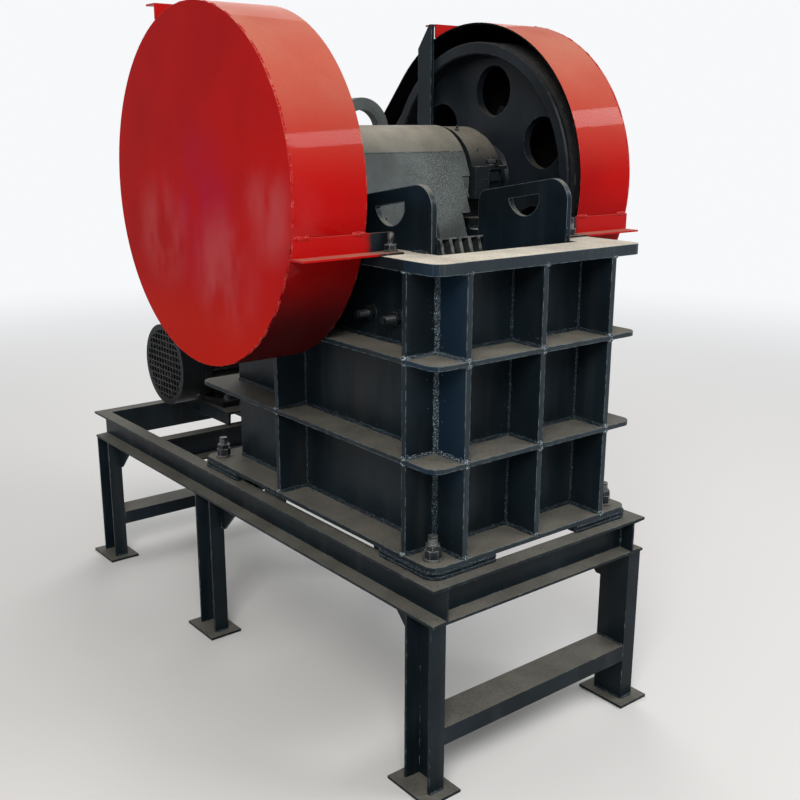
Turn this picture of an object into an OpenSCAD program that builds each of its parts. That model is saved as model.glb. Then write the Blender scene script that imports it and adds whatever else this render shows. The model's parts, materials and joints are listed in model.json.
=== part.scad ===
// Small jaw crusher, 250 x 400 mm feed size, on its channel-section stand.
// +X points to the fixed jaw, +Y to the belt-drive side, +Z up.
// The origin lies on the ground under the middle of the stand.

/* [Stand] */
// Length of the stand along X
stand_length = 2000; // [1960:10:2200]
// Width of the stand over the flanges of its long beams
stand_width = 780; // [776:2:860]
// Height of the stand's top face
stand_height = 568; // [480:4:700]
// Depth of the rolled channel
channel_depth = 100; // [90:2:120]
// Flange width of the rolled channel
channel_flange = 48; // [42:1:54]
// Web thickness of the rolled channel
channel_web = 5.3; // [4.5:0.1:7]
// Mean flange thickness of the rolled channel
channel_flange_t = 8.5; // [7:0.5:10]
// Place of the middle legs along X
middle_leg_x = -154; // [-180:2:-120]
// Place of the cross beam that carries the motor rails
motor_beam_x = -518; // [-540:2:-480]
// Height of the lower ties' top face
tie_top = 180; // [140:5:260]
// Length of a foot plate
foot_length = 160; // [140:5:170]
// Width of a foot plate
foot_width = 110; // [90:5:130]
// Thickness of a foot plate
foot_t = 8; // [6:1:12]
// Leg length of the corner gussets
gusset_size = 100; // [80:5:120]
// Thickness of the corner gussets
gusset_t = 8; // [5:1:12]

/* [Frame] */
// Length of the frame's flange plates along X
frame_length = 1140; // [1120:5:1180]
// Place of the frame's front edge
frame_front = 960; // [950:2:970]
// Width of the frame's flange plates
frame_width = 720; // [700:2:732]
// Clear width between the side walls
chamber_width = 486; // [480:1:492]
// Thickness of the side walls
side_wall_t = 16; // [12:1:20]
// Thickness of the front wall
front_wall_t = 16; // [12:1:22]
// Thickness of the rear wall
rear_wall_t = 20; // [14:1:25]
// Overhang of the flange plates in front of the front wall
front_overhang = 112; // [100:1:120]
// Overhang of the flange plates behind the side walls
rear_overhang = 68; // [50:1:80]
// Thickness of the packing pads on the stand
pad_t = 20; // [12:1:30]
// Length of a packing pad along each side
pad_length = 210; // [180:5:240]
// Thickness of the base flange
base_flange_t = 12; // [10:1:18]
// Thickness of the ribs that run round the frame
rib_t = 12; // [10:1:16]
// Thickness of the top flange
top_flange_t = 28; // [20:1:36]
// Height of the frame above its base flange
frame_height = 735; // [715:1:755]
// Height of the lower rib's top face above the base flange
lower_rib_rise = 250; // [230:2:270]
// Height of the upper rib's top face above the base flange
upper_rib_rise = 500; // [480:2:520]
// Thickness of the upright ribs
upright_rib_t = 16; // [12:1:20]
// How far the upright ribs stop short of the plate edges
rib_inset = 5; // [3:1:8]
// Radius of the plates' corners
corner_radius = 35; // [25:1:45]
// Distance of the anchor bolts from the plate edges
bolt_inset = 48; // [44:1:52]
// Diameter of the anchor bolts
bolt_d = 24; // [20:1:30]

/* [Jaws] */
// Width of both jaw plates
jaw_width = 430; // [400:2:436]
// Thickness of both jaw plates, ridges included
jaw_t = 56; // [50:1:62]
// Height of the jaw ridges
ridge_h = 20; // [12:1:24]
// Number of ridges across a jaw plate
ridge_count = 12; // [8:1:14]
// Slope of the swing jaw against the vertical, in degrees
jaw_slope = 20; // [19:0.5:21]
// Length of the swing jaw plate
swing_jaw_length = 660; // [600:5:680]
// How far the fixed jaw plate's top lies below the top flange
fixed_jaw_drop = 15; // [5:1:40]
// Height of the fixed jaw plate
fixed_jaw_h = 640; // [560:5:660]
// Thickness of the cheek plates
cheek_t = 16; // [12:1:18]
// Place of the cheek plates' front edge
cheek_front = 805; // [790:1:815]
// Length of the cheek plates along X
cheek_length = 345; // [320:5:360]
// Height of the cheek plates' front top corner above the top flange
cheek_rise = 172; // [140:2:190]
// Slope of the cheek plates' top edge, in degrees
cheek_slope = 9.5; // [6:0.5:12]
// Depth that the cheek plates reach below the top flange
cheek_depth = 600; // [560:5:620]
// Length of the cheek plates at their foot
cheek_foot = 150; // [120:5:180]
// Radius of the lifting hole in a cheek plate
cheek_hole_r = 62; // [50:1:66]
// Width of the lifting hole between its straight sides
cheek_hole_width = 116; // [96:2:120]

/* [Pitman and shaft] */
// Place of the shaft along X
shaft_x = 262; // [255:1:270]
// Height of the shaft above the top flange
shaft_rise = 137; // [132:1:145]
// Diameter of the shaft's main journals
shaft_d = 110; // [100:1:120]
// Diameter of the shaft's eccentric part
eccentric_d = 140; // [130:1:150]
// Eccentric throw of the shaft
throw = 10; // [6:1:12]
// Outer radius of the pitman's barrel
barrel_r = 160; // [156:1:165]
// Length of the pitman's barrel
barrel_length = 444; // [430:1:466]
// Inner radius of the pitman's barrel
barrel_bore_r = 100; // [96:1:110]
// Length of each of the barrel's end covers
barrel_cover_t = 24; // [16:1:30]
// Width of the pitman's body below the barrel
body_width = 386; // [370:2:410]
// Width of each of the two lips that hold the jaw plate
lip_width = 101; // [80:1:120]
// Place of the near lip's outer edge along Y
near_lip_y = -113; // [-140:1:-105]
// Place of the far lip's inner edge along Y
far_lip_y = 61; // [40:1:80]
// Outer radius of the bearing caps
housing_r = 156; // [146:1:158]
// Length of the round part of a bearing cap
cap_length = 99; // [85:1:105]
// Radius of the bearings' end covers
end_cover_r = 146; // [120:1:150]
// Thickness of the bearings' end covers
end_cover_t = 12; // [6:1:16]
// Length of a bearing housing along the shaft
housing_length = 127; // [110:1:130]
// Half length of the bearing housing's ears along X
ear_reach = 164; // [160:1:172]
// Width of the ears' bolt bosses along the shaft
ear_width = 54; // [44:1:70]
// Thickness of the bearing cap's ears
ear_t = 44; // [30:1:50]
// Running clearance round the shaft
running_gap = 0.08; // [0.05:0.01:0.1]

/* [Flywheels] */
// Diameter of the flywheels
flywheel_d = 806; // [760:2:830]
// Width of the flywheel rims
flywheel_width = 140; // [130:1:150]
// Side gap from a bearing housing to a flywheel
flywheel_gap = 7; // [6:1:10]
// Radial thickness of the rims
rim_t = 36; // [30:1:50]
// Thickness of the flywheel webs
web_t = 26; // [20:1:34]
// Depth of the web below the rim's inner face
web_recess = 62; // [50:1:70]
// Number of holes in a web
web_holes = 6; // [4:1:8]
// Diameter of the web holes
web_hole_d = 150; // [120:2:170]
// Pitch radius of the web holes
web_hole_pitch_r = 262; // [250:1:270]
// Diameter of the hubs
hub_d = 190; // [170:2:210]

/* [Guards] */
// Radius of the flywheel guards
guard_r = 457; // [440:1:470]
// Width of the guards
guard_width = 210; // [205:1:230]
// Sheet thickness of the guards
guard_t = 4; // [3:0.5:6]
// Side gap from the frame's plates to the guards
guard_gap = 11; // [9:1:14]
// Leg length of the guards' angle brackets
angle_leg = 50; // [40:1:60]
// Thickness of the angle brackets
angle_t = 5; // [4:0.5:8]
// Width of the guards' support bars
bar_width = 65; // [50:1:80]
// Radius of the belt guard round the motor pulley
belt_guard_r = 185; // [165:1:200]

/* [Drive] */
// Place of the motor's shaft along X
motor_x = -737; // [-760:1:-720]
// Height of the motor's shaft above its feet
motor_centre_h = 160; // [150:1:180]
// Place of the motor's fan cover along Y
motor_fan_y = -216; // [-240:1:-200]
// Length of the motor without its shaft end
motor_length = 546; // [530:1:555]
// Length of the motor's shaft end
motor_shaft_length = 110; // [100:1:115]
// Diameter of the motor's shaft end
motor_shaft_d = 42; // [38:1:48]
// Spacing of the motor's feet along its shaft
motor_foot_pitch = 254; // [230:2:270]
// Outer radius of the motor's fan cover
fan_cover_r = 144; // [135:1:150]
// Number of cooling fins round the motor
fin_count = 32; // [20:2:40]
// Outer diameter of the motor pulley
pulley_d = 256; // [230:2:280]
// Number of V-belts
belt_count = 4; // [3:1:4]
// Spacing of the V-belts
belt_pitch = 19; // [18:0.5:20]
// Top width of a V-belt
belt_width = 16; // [13:0.5:17]
// Height of a V-belt
belt_height = 11; // [8:0.5:13]
// Play between the V-belts and their grooves
belt_gap = 0.4; // [0.2:0.1:0.8]

/* [Toggle and tension rod] */
// Height of the toggle plate above the base flange
toggle_rise = 190; // [170:2:210]
// Thickness of the toggle plate
toggle_t = 26; // [20:1:32]
// Depth of the adjusting block in front of the rear wall
block_depth = 190; // [160:2:220]
// Diameter of the tension rod
rod_d = 24; // [18:1:30]
// Number of coils in the tension spring
coil_count = 6; // [4:1:8]

/* [Hidden] */
$fn = 96;

// small overlap that lets cuts run clean through
eps = 1;

// stand levels and places
beam_bottom = stand_height - channel_depth;
beam_web_y = stand_width/2 - channel_flange;
leg_x_front = stand_length/2 - channel_depth/2 - 8;
leg_x_rear = -leg_x_front;
bolt_x_front = frame_front - bolt_inset - 5;
bolt_x_rear = frame_front - frame_length + bolt_inset;
bolt_y = frame_width/2 - bolt_inset + 3;
gusset_clip = 16;

// frame levels
pad_bottom = stand_height;
flange_bottom = pad_bottom + pad_t;
base_top = flange_bottom + base_flange_t;
frame_top = base_top + frame_height;
lower_rib_top = base_top + lower_rib_rise;
upper_rib_top = base_top + upper_rib_rise;
top_flange_bottom = frame_top - top_flange_t;
bays = [
  [base_top, lower_rib_top - rib_t],
  [lower_rib_top, upper_rib_top - rib_t],
  [upper_rib_top, top_flange_bottom]
];

// frame places
frame_rear = frame_front - frame_length;
wall_inner_y = chamber_width/2;
wall_outer_y = wall_inner_y + side_wall_t;
front_wall_out = frame_front - front_overhang;
front_wall_in = front_wall_out - front_wall_t;
wall_rear_x = frame_rear + rear_overhang;
rear_wall_in = wall_rear_x + rear_wall_t;
upright_tip_x = frame_front - rib_inset;
upright_tip_y = frame_width/2 - rib_inset;

// shaft line
shaft_z = frame_top + shaft_rise;
housing_in = wall_inner_y;
housing_out = housing_in + housing_length;
flywheel_in = housing_out + flywheel_gap;
flywheel_out = flywheel_in + flywheel_width;
guard_in = frame_width/2 + guard_gap;
guard_out = guard_in + guard_width;
shaft_end = flywheel_out + 28;
shaft_r = shaft_d/2;
foot_pad_t = 30;
lower_ear_t = 49;
ear_setback = 26;
ledge_t = 10;
neck_r = 128;
cover_back = 6;
housing_foot_reach = 140;
housing_waist = 96;

// swing jaw: the body's front face is tangent to the barrel and slopes forward
jaw_n = [cos(jaw_slope), sin(jaw_slope)];
jaw_d = [sin(jaw_slope), -cos(jaw_slope)];
face_start = [shaft_x, shaft_z] + barrel_r*jaw_n;
lip_drop = 214;
seat_recess = 48;
seat_gap = 2;
shoulder_drop = 39;
side_lug_t = 22;
top_rail = 5;
weld_gap = 0.05;
lip_end = face_start + lip_drop*jaw_d;
seat_start = lip_end - seat_recess*jaw_n;
jaw_back = seat_start + seat_gap*jaw_d;
seat_end = jaw_back + swing_jaw_length*jaw_d;
slab_t = 62;
lip_step = 146;
foot_lip = 26;

// toggle
toggle_z = base_top + toggle_rise;
toggle_front_x = 470;
block_front = rear_wall_in + block_depth;
toggle_end_r = 15;
seat_play = 0.3;

// tension rod
rod_z = base_top + 84;
rod_pin_x = 545;
rod_pin_r = 10;
rod_eye_r = 26;
rod_eye_t = 20;
jaw_travel_x = 13;
jaw_travel_z = 6;
spring_r = 34;
spring_wire_r = 6;
spring_length = 96;
washer_t = 10;
spring_seat_x = wall_rear_x - washer_t;

// drive
motor_z = stand_height + channel_flange + motor_centre_h;
motor_end_y = motor_fan_y + motor_length;
belt_first_y = flywheel_in + 14 + belt_width/2;
groove_depth = belt_height + 3;
belt_outer_big = flywheel_d/2 - 1;
belt_outer_small = pulley_d/2 - 1;
drive_dx = shaft_x - motor_x;
drive_dz = shaft_z - motor_z;
drive_length = sqrt(drive_dx*drive_dx + drive_dz*drive_dz);
drive_angle = 180 + atan2(drive_dz, drive_dx);
strand_lean = asin((belt_outer_big - belt_outer_small)/drive_length);
pulley_width = (belt_count - 1)*belt_pitch + belt_width + 18;
pulley_in = belt_first_y - belt_width/2 - 9;
fan_cover_length = 92;
rail_width = channel_depth;
side_ease = 0.3;
belt_slimmer = 0.05;
splice = 1;
rail_y_near = motor_fan_y + 186;
rail_y_far = rail_y_near + motor_foot_pitch;
rail_length = motor_beam_x + stand_length/2;

// guard supports
bracket_top = frame_top + angle_leg;
bracket_back = shaft_x + sqrt(guard_r*guard_r - pow(shaft_z - bracket_top, 2)) + seat_play;
bracket_inner_y = 292;
rear_leg = 40;
rear_angle_x = 90;
rear_angle_z = shaft_z + sqrt(guard_r*guard_r - pow(shaft_x - rear_angle_x, 2)) + seat_play;
bar_top = rear_angle_z + rear_leg;
bar_front_x = rear_angle_x - 8;

colour_frame = [0.16, 0.19, 0.22];
colour_stand = [0.20, 0.23, 0.25];
colour_casting = [0.36, 0.38, 0.38];
colour_guard = [0.72, 0.05, 0.05];
colour_steel = [0.45, 0.45, 0.46];
colour_black = [0.05, 0.05, 0.06];

// a rolled channel section: web along the left edge, flanges to the right
module channel_section() {
  taper = 1.4;
  polygon([
    [0, 0], [channel_flange, 0], [channel_flange, channel_flange_t - taper],
    [channel_web, channel_flange_t + taper], [channel_web, channel_depth - channel_flange_t - taper],
    [channel_flange, channel_depth - channel_flange_t + taper],
    [channel_flange, channel_depth], [0, channel_depth]
  ]);
}

// channel along X, web upright, flanges towards +Y, bottom at z = 0
module channel_x(length) {
  rotate([90, 0, 90]) linear_extrude(length) channel_section();
}

// channel along Y, web upright, flanges towards +X, bottom at z = 0
module channel_y(length) {
  translate([0, length, 0]) rotate([90, 0, 0]) linear_extrude(length) channel_section();
}

// upright channel, web in the XZ plane, flanges towards +Y, centred on X
module channel_z(length) {
  translate([channel_depth/2, 0, 0]) rotate([0, 0, 90]) linear_extrude(length) channel_section();
}

// channel laid along Y with its web on top, centred on X
module channel_flat_y(length) {
  translate([-channel_depth/2, 0, 0]) rotate([-90, 0, 0]) linear_extrude(length)
    translate([0, 0]) rotate(90) mirror([0, 1]) channel_section();
}

// mirrors its children to the other side of the XZ plane as well
module both_sides() {
  children();
  mirror([0, 1, 0]) children();
}

module round_rectangle(x0, x1, width, r) {
  translate([x0 + r, -width/2]) square([x1 - x0 - 2*r, width]);
  translate([x0, -width/2 + r]) square([x1 - x0, width - 2*r]);
  for (x = [x0 + r, x1 - r], y = [-width/2 + r, width/2 - r]) translate([x, y]) circle(r);
}

// turns a drawing in the XZ plane into a plate from y0 to y1
module xz_plate(y0, y1) {
  translate([0, y1, 0]) rotate([90, 0, 0]) linear_extrude(y1 - y0) children();
}

module bore_y(x, z, r, y0, y1) {
  translate([x, y0, z]) rotate([-90, 0, 0]) cylinder(h = y1 - y0, r = r);
}

// stand
module long_beam() {
  color(colour_stand) translate([-stand_length/2, beam_web_y, beam_bottom]) channel_x(stand_length);
}

module end_beam() {
  color(colour_stand)
    translate([stand_length/2 - channel_flange, -beam_web_y, beam_bottom]) channel_y(2*beam_web_y);
}

module stand_cross_beams() {
  color(colour_stand)
    for (x = [motor_beam_x, bolt_x_rear])
      translate([x - channel_flange/2, -beam_web_y, beam_bottom]) channel_y(2*beam_web_y);
}

module gusset() {
  xz_plate(-gusset_t, 0)
    polygon([
      [0, 0], [gusset_size, 0], [gusset_size, -gusset_clip], [gusset_clip, -gusset_size], [0, -gusset_size]
    ]);
}

// one leg on the +Y side: channel, foot plate and the gussets asked for
module leg(x, front_gusset, rear_gusset) {
  color(colour_stand) translate([x, beam_web_y, 0]) {
    translate([0, 0, foot_t]) channel_z(beam_bottom - foot_t);
    translate([-foot_length/2, channel_flange/2 - foot_width/2, 0]) cube([foot_length, foot_width, foot_t]);
    if (front_gusset) translate([channel_depth/2, gusset_t, beam_bottom]) gusset();
    if (rear_gusset) mirror([1, 0, 0]) translate([channel_depth/2, gusset_t, beam_bottom]) gusset();
  }
}

module stand_legs_front() { both_sides() leg(leg_x_front, false, true); }
module stand_legs_middle() { both_sides() leg(middle_leg_x, true, true); }
module stand_legs_rear() { both_sides() leg(leg_x_rear, true, false); }

module stand_ties() {
  color(colour_stand)
    for (x = [leg_x_front, leg_x_rear])
      translate([x, -beam_web_y, tie_top]) channel_flat_y(2*beam_web_y);
}

module motor_rails() {
  color(colour_stand)
    for (y = [rail_y_near, rail_y_far])
      translate([-stand_length/2, y, stand_height + channel_flange]) rotate([0, 90, 0])
        linear_extrude(rail_length) translate([0, -rail_width/2]) channel_section();
}

module corner_pads() {
  color(colour_black)
    translate([0, 0, pad_bottom]) linear_extrude(pad_t) difference() {
      round_rectangle(frame_rear, frame_front, frame_width, corner_radius);
      translate([frame_rear + pad_length, -frame_width])
        square([frame_length - 2*pad_length, 2*frame_width]);
      translate([frame_rear - eps, -frame_width/2 + pad_length])
        square([frame_length + 2*eps, frame_width - 2*pad_length]);
      translate([rear_wall_in, -wall_inner_y]) square([front_wall_in - rear_wall_in, chamber_width]);
      for (x = [bolt_x_front, bolt_x_rear], y = [-bolt_y, bolt_y]) translate([x, y]) circle(bolt_d/2 + 1);
    }
}

module anchor_bolt() {
  washer_h = 4;
  nut_h = 22;
  lock_nut_h = 14;
  stub = 22;
  below = pad_t + base_flange_t;
  cylinder(h = washer_h, r = bolt_d*0.95);
  translate([0, 0, washer_h]) cylinder(h = nut_h, r = bolt_d*0.88, $fn = 6);
  translate([0, 0, washer_h + nut_h]) rotate(20) cylinder(h = lock_nut_h, r = bolt_d*0.84, $fn = 6);
  translate([0, 0, -below]) cylinder(h = below + washer_h + nut_h + lock_nut_h + stub, r = bolt_d/2);
}

module anchor_bolts() {
  color(colour_steel)
    for (x = [bolt_x_front, bolt_x_rear], y = [-bolt_y, bolt_y]) translate([x, y, base_top]) anchor_bolt();
}

// frame plates
module frame_outline() { round_rectangle(frame_rear, frame_front, frame_width, corner_radius); }

module chamber_outline() {
  translate([rear_wall_in, -wall_inner_y]) square([front_wall_in - rear_wall_in, chamber_width]);
}

module bolt_holes() {
  for (x = [bolt_x_front, bolt_x_rear], y = [-bolt_y, bolt_y]) translate([x, y]) circle(bolt_d/2 + 1);
}

module base_flange() {
  color(colour_frame) translate([0, 0, flange_bottom]) linear_extrude(base_flange_t) difference() {
    frame_outline();
    chamber_outline();
    bolt_holes();
  }
}

module top_flange() {
  color(colour_frame) translate([0, 0, top_flange_bottom]) linear_extrude(top_flange_t) difference() {
    frame_outline();
    chamber_outline();
  }
}

// a rib round the walls, slotted where the side walls run on to the front
module ring_rib(z_top) {
  color(colour_frame) translate([0, 0, z_top - rib_t]) linear_extrude(rib_t) difference() {
    frame_outline();
    translate([wall_rear_x, -wall_outer_y]) square([front_wall_out - wall_rear_x, 2*wall_outer_y]);
    for (y = [-wall_outer_y, wall_inner_y])
      translate([front_wall_out - eps, y]) square([upright_tip_x - front_wall_out + eps, side_wall_t]);
  }
}

module lower_rib() { ring_rib(lower_rib_top); }
module upper_rib() { ring_rib(upper_rib_top); }

module side_wall() {
  color(colour_frame)
    translate([wall_rear_x, wall_inner_y, base_top])
      cube([upright_tip_x - wall_rear_x, side_wall_t, top_flange_bottom - base_top]);
}

module front_wall() {
  color(colour_frame)
    translate([front_wall_in, -wall_inner_y, base_top])
      cube([front_wall_t, chamber_width, top_flange_bottom - base_top]);
}

module rear_wall() {
  color(colour_frame) difference() {
    translate([wall_rear_x, -wall_inner_y, base_top])
      cube([rear_wall_t, chamber_width, top_flange_bottom - base_top]);
    translate([wall_rear_x - eps, 0, rod_z]) rotate([0, 90, 0])
      cylinder(h = rear_wall_t + 2*eps, r = rod_d/2 + 4);
  }
}

module front_upright_ribs() {
  color(colour_frame)
    for (bay = bays)
      translate([front_wall_out, -upright_rib_t/2, bay[0]])
        cube([upright_tip_x - front_wall_out, upright_rib_t, bay[1] - bay[0]]);
}

// upright ribs outside a side wall: in line with the front wall and under the bearing
module side_upright_ribs() {
  color(colour_frame)
    for (bay = bays, rib = [[front_wall_in, front_wall_t], [shaft_x - upright_rib_t/2, upright_rib_t]])
      translate([rib[0], wall_outer_y, bay[0]])
        cube([rib[1], upright_tip_y - wall_outer_y, bay[1] - bay[0]]);
}

// crushing chamber
module cheek_plate() {
  r = 58;
  rear_r = 32;
  top_z = frame_top + cheek_rise;
  rear_x = cheek_front - cheek_length;
  rear_top = top_z - cheek_length*tan(cheek_slope);
  arc_z = top_z - r*(1 + sin(cheek_slope))/cos(cheek_slope);
  rear_arc_z = rear_top - rear_r*(1 - sin(cheek_slope))/cos(cheek_slope);
  hole = [cheek_front - 163, frame_top + 117];
  hole_top = 8;
  reach = 2*cheek_hole_r;
  low = frame_top - cheek_depth;
  color(colour_frame) xz_plate(wall_inner_y - cheek_t, wall_inner_y) difference() {
    union() {
      polygon([
        [rear_x, frame_top - 60], [cheek_front - cheek_foot, low], [cheek_front, low], [cheek_front, arc_z],
        [cheek_front - r, arc_z],
        [cheek_front - r - r*sin(cheek_slope), arc_z + r*cos(cheek_slope)],
        [rear_x + rear_r - rear_r*sin(cheek_slope), rear_arc_z + rear_r*cos(cheek_slope)],
        [rear_x + rear_r, rear_arc_z], [rear_x, rear_arc_z]
      ]);
      translate([cheek_front - r, arc_z]) circle(r);
      translate([rear_x + rear_r, rear_arc_z]) circle(rear_r);
    }
    intersection() {
      translate(hole) circle(cheek_hole_r);
      translate(hole - [cheek_hole_width/2, reach]) square([cheek_hole_width, 2*reach]);
      translate(hole - [0, hole_top]) rotate(cheek_slope)
        translate([-reach, -reach]) square([2*reach, reach]);
    }
  }
}

// two wedge bolts a side, at set distances behind the cheek plates' front edge
module cheek_bolts() {
  setbacks = [107, 215];
  drop = 169;
  color(colour_steel) both_sides()
    for (setback = setbacks)
      translate([cheek_front - setback, wall_outer_y, frame_top - drop]) rotate([-90, 0, 0]) {
        cylinder(h = 52, r = 9);
        cylinder(h = 14, r = 18, $fn = 6);
      }
}

// section of a jaw plate: flat back, narrow ridges; x runs across, y out of the plate
// shifted by half a pitch, the ridges of one plate face the valleys of the other
module jaw_section(shifted = false) {
  pitch = jaw_width/ridge_count;
  root = jaw_t - ridge_h;
  first = shifted ? 0.5 : 0;
  last = ridge_count - (shifted ? 2 : 1);
  polygon(concat(
    [[-jaw_width/2, 0], [-jaw_width/2, root]],
    [for (i = [0:last], p = [[0.16, root], [0.38, jaw_t], [0.62, jaw_t], [0.84, root]])
      [-jaw_width/2 + (first + i + p[0])*pitch, p[1]]],
    [[jaw_width/2, root], [jaw_width/2, 0]]
  ));
}

module fixed_jaw_plate() {
  color(colour_casting)
    translate([front_wall_in, 0, frame_top - fixed_jaw_drop - fixed_jaw_h])
      rotate([0, 0, 90]) linear_extrude(fixed_jaw_h) jaw_section(true);
}

module swing_jaw_plate() {
  color(colour_casting)
    translate([seat_end[0], 0, seat_end[1]]) rotate([0, -jaw_slope, 0]) {
      rotate([0, 0, -90]) linear_extrude(swing_jaw_length) jaw_section();
      // rail that closes the valleys at the top
      translate([0, -jaw_width/2, swing_jaw_length - top_rail]) cube([jaw_t, jaw_width, top_rail]);
    }
}

// place along X of the middle of the pitman's slab at height z
function slab_mid_x(z) = seat_start[0] + (seat_start[1] - z)*tan(jaw_slope) - slab_t/2/cos(jaw_slope);

// moving jaw holder: barrel, sloping body with a seat for the jaw plate, ribs and toggle seat
module pitman() {
  foot_out = seat_end + foot_lip*jaw_d;
  seat_x = toggle_front_x;
  shoulder = face_start + shoulder_drop*jaw_d;
  lip_root = face_start + (lip_step - 20)*jaw_d;
  lug_top = shoulder + 6*jaw_d - 14*jaw_n;
  lug_foot = lug_top + 52*jaw_d;
  lug_depth = 46;
  color(colour_casting) difference() {
    union() {
      bore_y(shaft_x, shaft_z, barrel_r, -barrel_length/2, barrel_length/2);
      // body slab behind the jaw plate
      xz_plate(-body_width/2, body_width/2) polygon([
        [shaft_x, shaft_z], face_start, face_start + lip_step*jaw_d,
        face_start + lip_step*jaw_d - seat_recess*jaw_n, seat_end, seat_end - slab_t*jaw_n,
        [shaft_x - 40, shaft_z - 120]
      ]);
      // shoulders that carry the barrel's ends, and a cast lug under each
      xz_plate(-barrel_length/2, barrel_length/2)
        polygon([[shaft_x, shaft_z], face_start, shoulder, shoulder - 60*jaw_n]);
      both_sides() xz_plate(body_width/2 - eps, body_width/2 + side_lug_t)
        polygon([lug_top, lug_foot, lug_foot - lug_depth*jaw_n, lug_top - lug_depth*jaw_n]);
      // lips over the top of the jaw plate
      for (y = [near_lip_y, far_lip_y]) xz_plate(y, y + lip_width)
        polygon([lip_root, lip_end, seat_start, lip_root - seat_recess*jaw_n]);
      // foot under the jaw plate
      xz_plate(-body_width/2, body_width/2) polygon([
        seat_end + 40*jaw_n, foot_out + 30*jaw_n, foot_out - slab_t*jaw_n, seat_end - slab_t*jaw_n, seat_end
      ]);
      // ribs on the back
      for (y = [-1, 0, 1]*(body_width/2 - 15)) xz_plate(y - 15, y + 15) polygon([
        [shaft_x - 100, shaft_z - 60], [shaft_x, shaft_z - 60],
        seat_end - (slab_t - 10)*jaw_n - (y == 0 ? 130 : 0)*jaw_d,
        [seat_x + 12, toggle_z - 46], [seat_x + 12, toggle_z + 60]
      ]);
      // lug and pin for the tension rod
      both_sides() xz_plate(rod_eye_t/2 + 5, rod_eye_t/2 + 19) union() {
        translate([rod_pin_x, rod_z]) circle(rod_eye_r - 4);
        polygon([
          [rod_pin_x, rod_z + rod_eye_r - 4], [rod_pin_x, rod_z - rod_eye_r + 4],
          seat_end - (slab_t - 10)*jaw_n, seat_end - (slab_t - 10)*jaw_n - 90*jaw_d
        ]);
      }
      bore_y(rod_pin_x, rod_z, rod_pin_r, -rod_eye_t/2 - 19, rod_eye_t/2 + 19);
      // toggle seat
      xz_plate(-body_width/2, body_width/2) polygon([
        [seat_x + 4, toggle_z - 46], [seat_x + 4, toggle_z + 46], [seat_x + 60, toggle_z + 70],
        [slab_mid_x(toggle_z + 70), toggle_z + 70], [slab_mid_x(toggle_z - 46), toggle_z - 46]
      ]);
    }
    hollow = barrel_length/2 - barrel_cover_t;
    bore_y(shaft_x, shaft_z, barrel_bore_r, -hollow, hollow);
    bore_y(shaft_x, shaft_z, shaft_r + running_gap, -barrel_length/2 - eps, barrel_length/2 + eps);
    // pocket for the toggle plate, open to the rear
    bore_y(seat_x, toggle_z, toggle_end_r + seat_play, -body_width/2 - eps, body_width/2 + eps);
  }
}

module lifting_eye() {
  eye_r = 96;
  hole_r = 62;
  eye_t = 30;
  eye_x = shaft_x - 60;
  eye_z = shaft_z + barrel_r*0.88;
  color(colour_casting) difference() {
    translate([eye_x - eye_t, 0, eye_z]) rotate([90, 0, 90]) linear_extrude(eye_t) difference() {
      union() {
        circle(eye_r);
        translate([-eye_r, -60]) square([2*eye_r, 60]);
      }
      circle(hole_r);
    }
    bore_y(shaft_x, shaft_z, barrel_r + weld_gap, -eye_r - 10, eye_r + 10);
  }
}

// bearings: each ear has a bolt boss at its inner end and is set back behind it
module bearing_ears(z0, z1) {
  translate([shaft_x - ear_reach, housing_in, z0]) cube([2*ear_reach, ear_width, z1 - z0]);
  translate([shaft_x - ear_reach + ear_setback, housing_in, z0])
    cube([2*(ear_reach - ear_setback), housing_length, z1 - z0]);
}

// upper half of a bearing's end cover and of the neck behind it
module end_cover() {
  cover_out = housing_out - cover_back;
  intersection() {
    union() {
      bore_y(shaft_x, shaft_z, neck_r, housing_in, cover_out);
      bore_y(shaft_x, shaft_z, end_cover_r, cover_out - end_cover_t, cover_out);
    }
    translate([shaft_x - end_cover_r, housing_in, shaft_z])
      cube([2*end_cover_r, housing_length, end_cover_r]);
  }
}

module bearing_housing() {
  color(colour_frame) difference() {
    union() {
      xz_plate(housing_in, housing_out) union() {
        translate([shaft_x - housing_foot_reach, frame_top]) square([2*housing_foot_reach, foot_pad_t]);
        translate([shaft_x - housing_waist, frame_top]) square([2*housing_waist, shaft_rise]);
      }
      bearing_ears(shaft_z - lower_ear_t, shaft_z);
    }
    bore_y(shaft_x, shaft_z, shaft_r + running_gap, housing_in - eps, housing_out + eps);
  }
}

module bearing_cap() {
  ear_top = shaft_z + ear_t;
  color(colour_frame) difference() {
    union() {
      xz_plate(housing_in, housing_in + cap_length) intersection() {
        translate([shaft_x, shaft_z]) circle(housing_r);
        translate([shaft_x - housing_r, shaft_z]) square([2*housing_r, housing_r + eps]);
      }
      end_cover();
      bearing_ears(shaft_z, ear_top);
      translate([shaft_x - ear_reach, housing_in, ear_top - ledge_t])
        cube([2*ear_reach, housing_length, ledge_t]);
    }
    bore_y(shaft_x, shaft_z, shaft_r + running_gap, housing_in - eps, housing_out + eps);
  }
}

module bearing_housings() { both_sides() bearing_housing(); }
module bearing_caps() { both_sides() bearing_cap(); }

module eccentric_shaft() {
  eccentric_half = barrel_length/2 - barrel_cover_t - 12;
  color(colour_steel) {
    bore_y(shaft_x, shaft_z, shaft_r, -shaft_end, shaft_end);
    bore_y(shaft_x, shaft_z - throw, eccentric_d/2, -eccentric_half, eccentric_half);
  }
}

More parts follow.
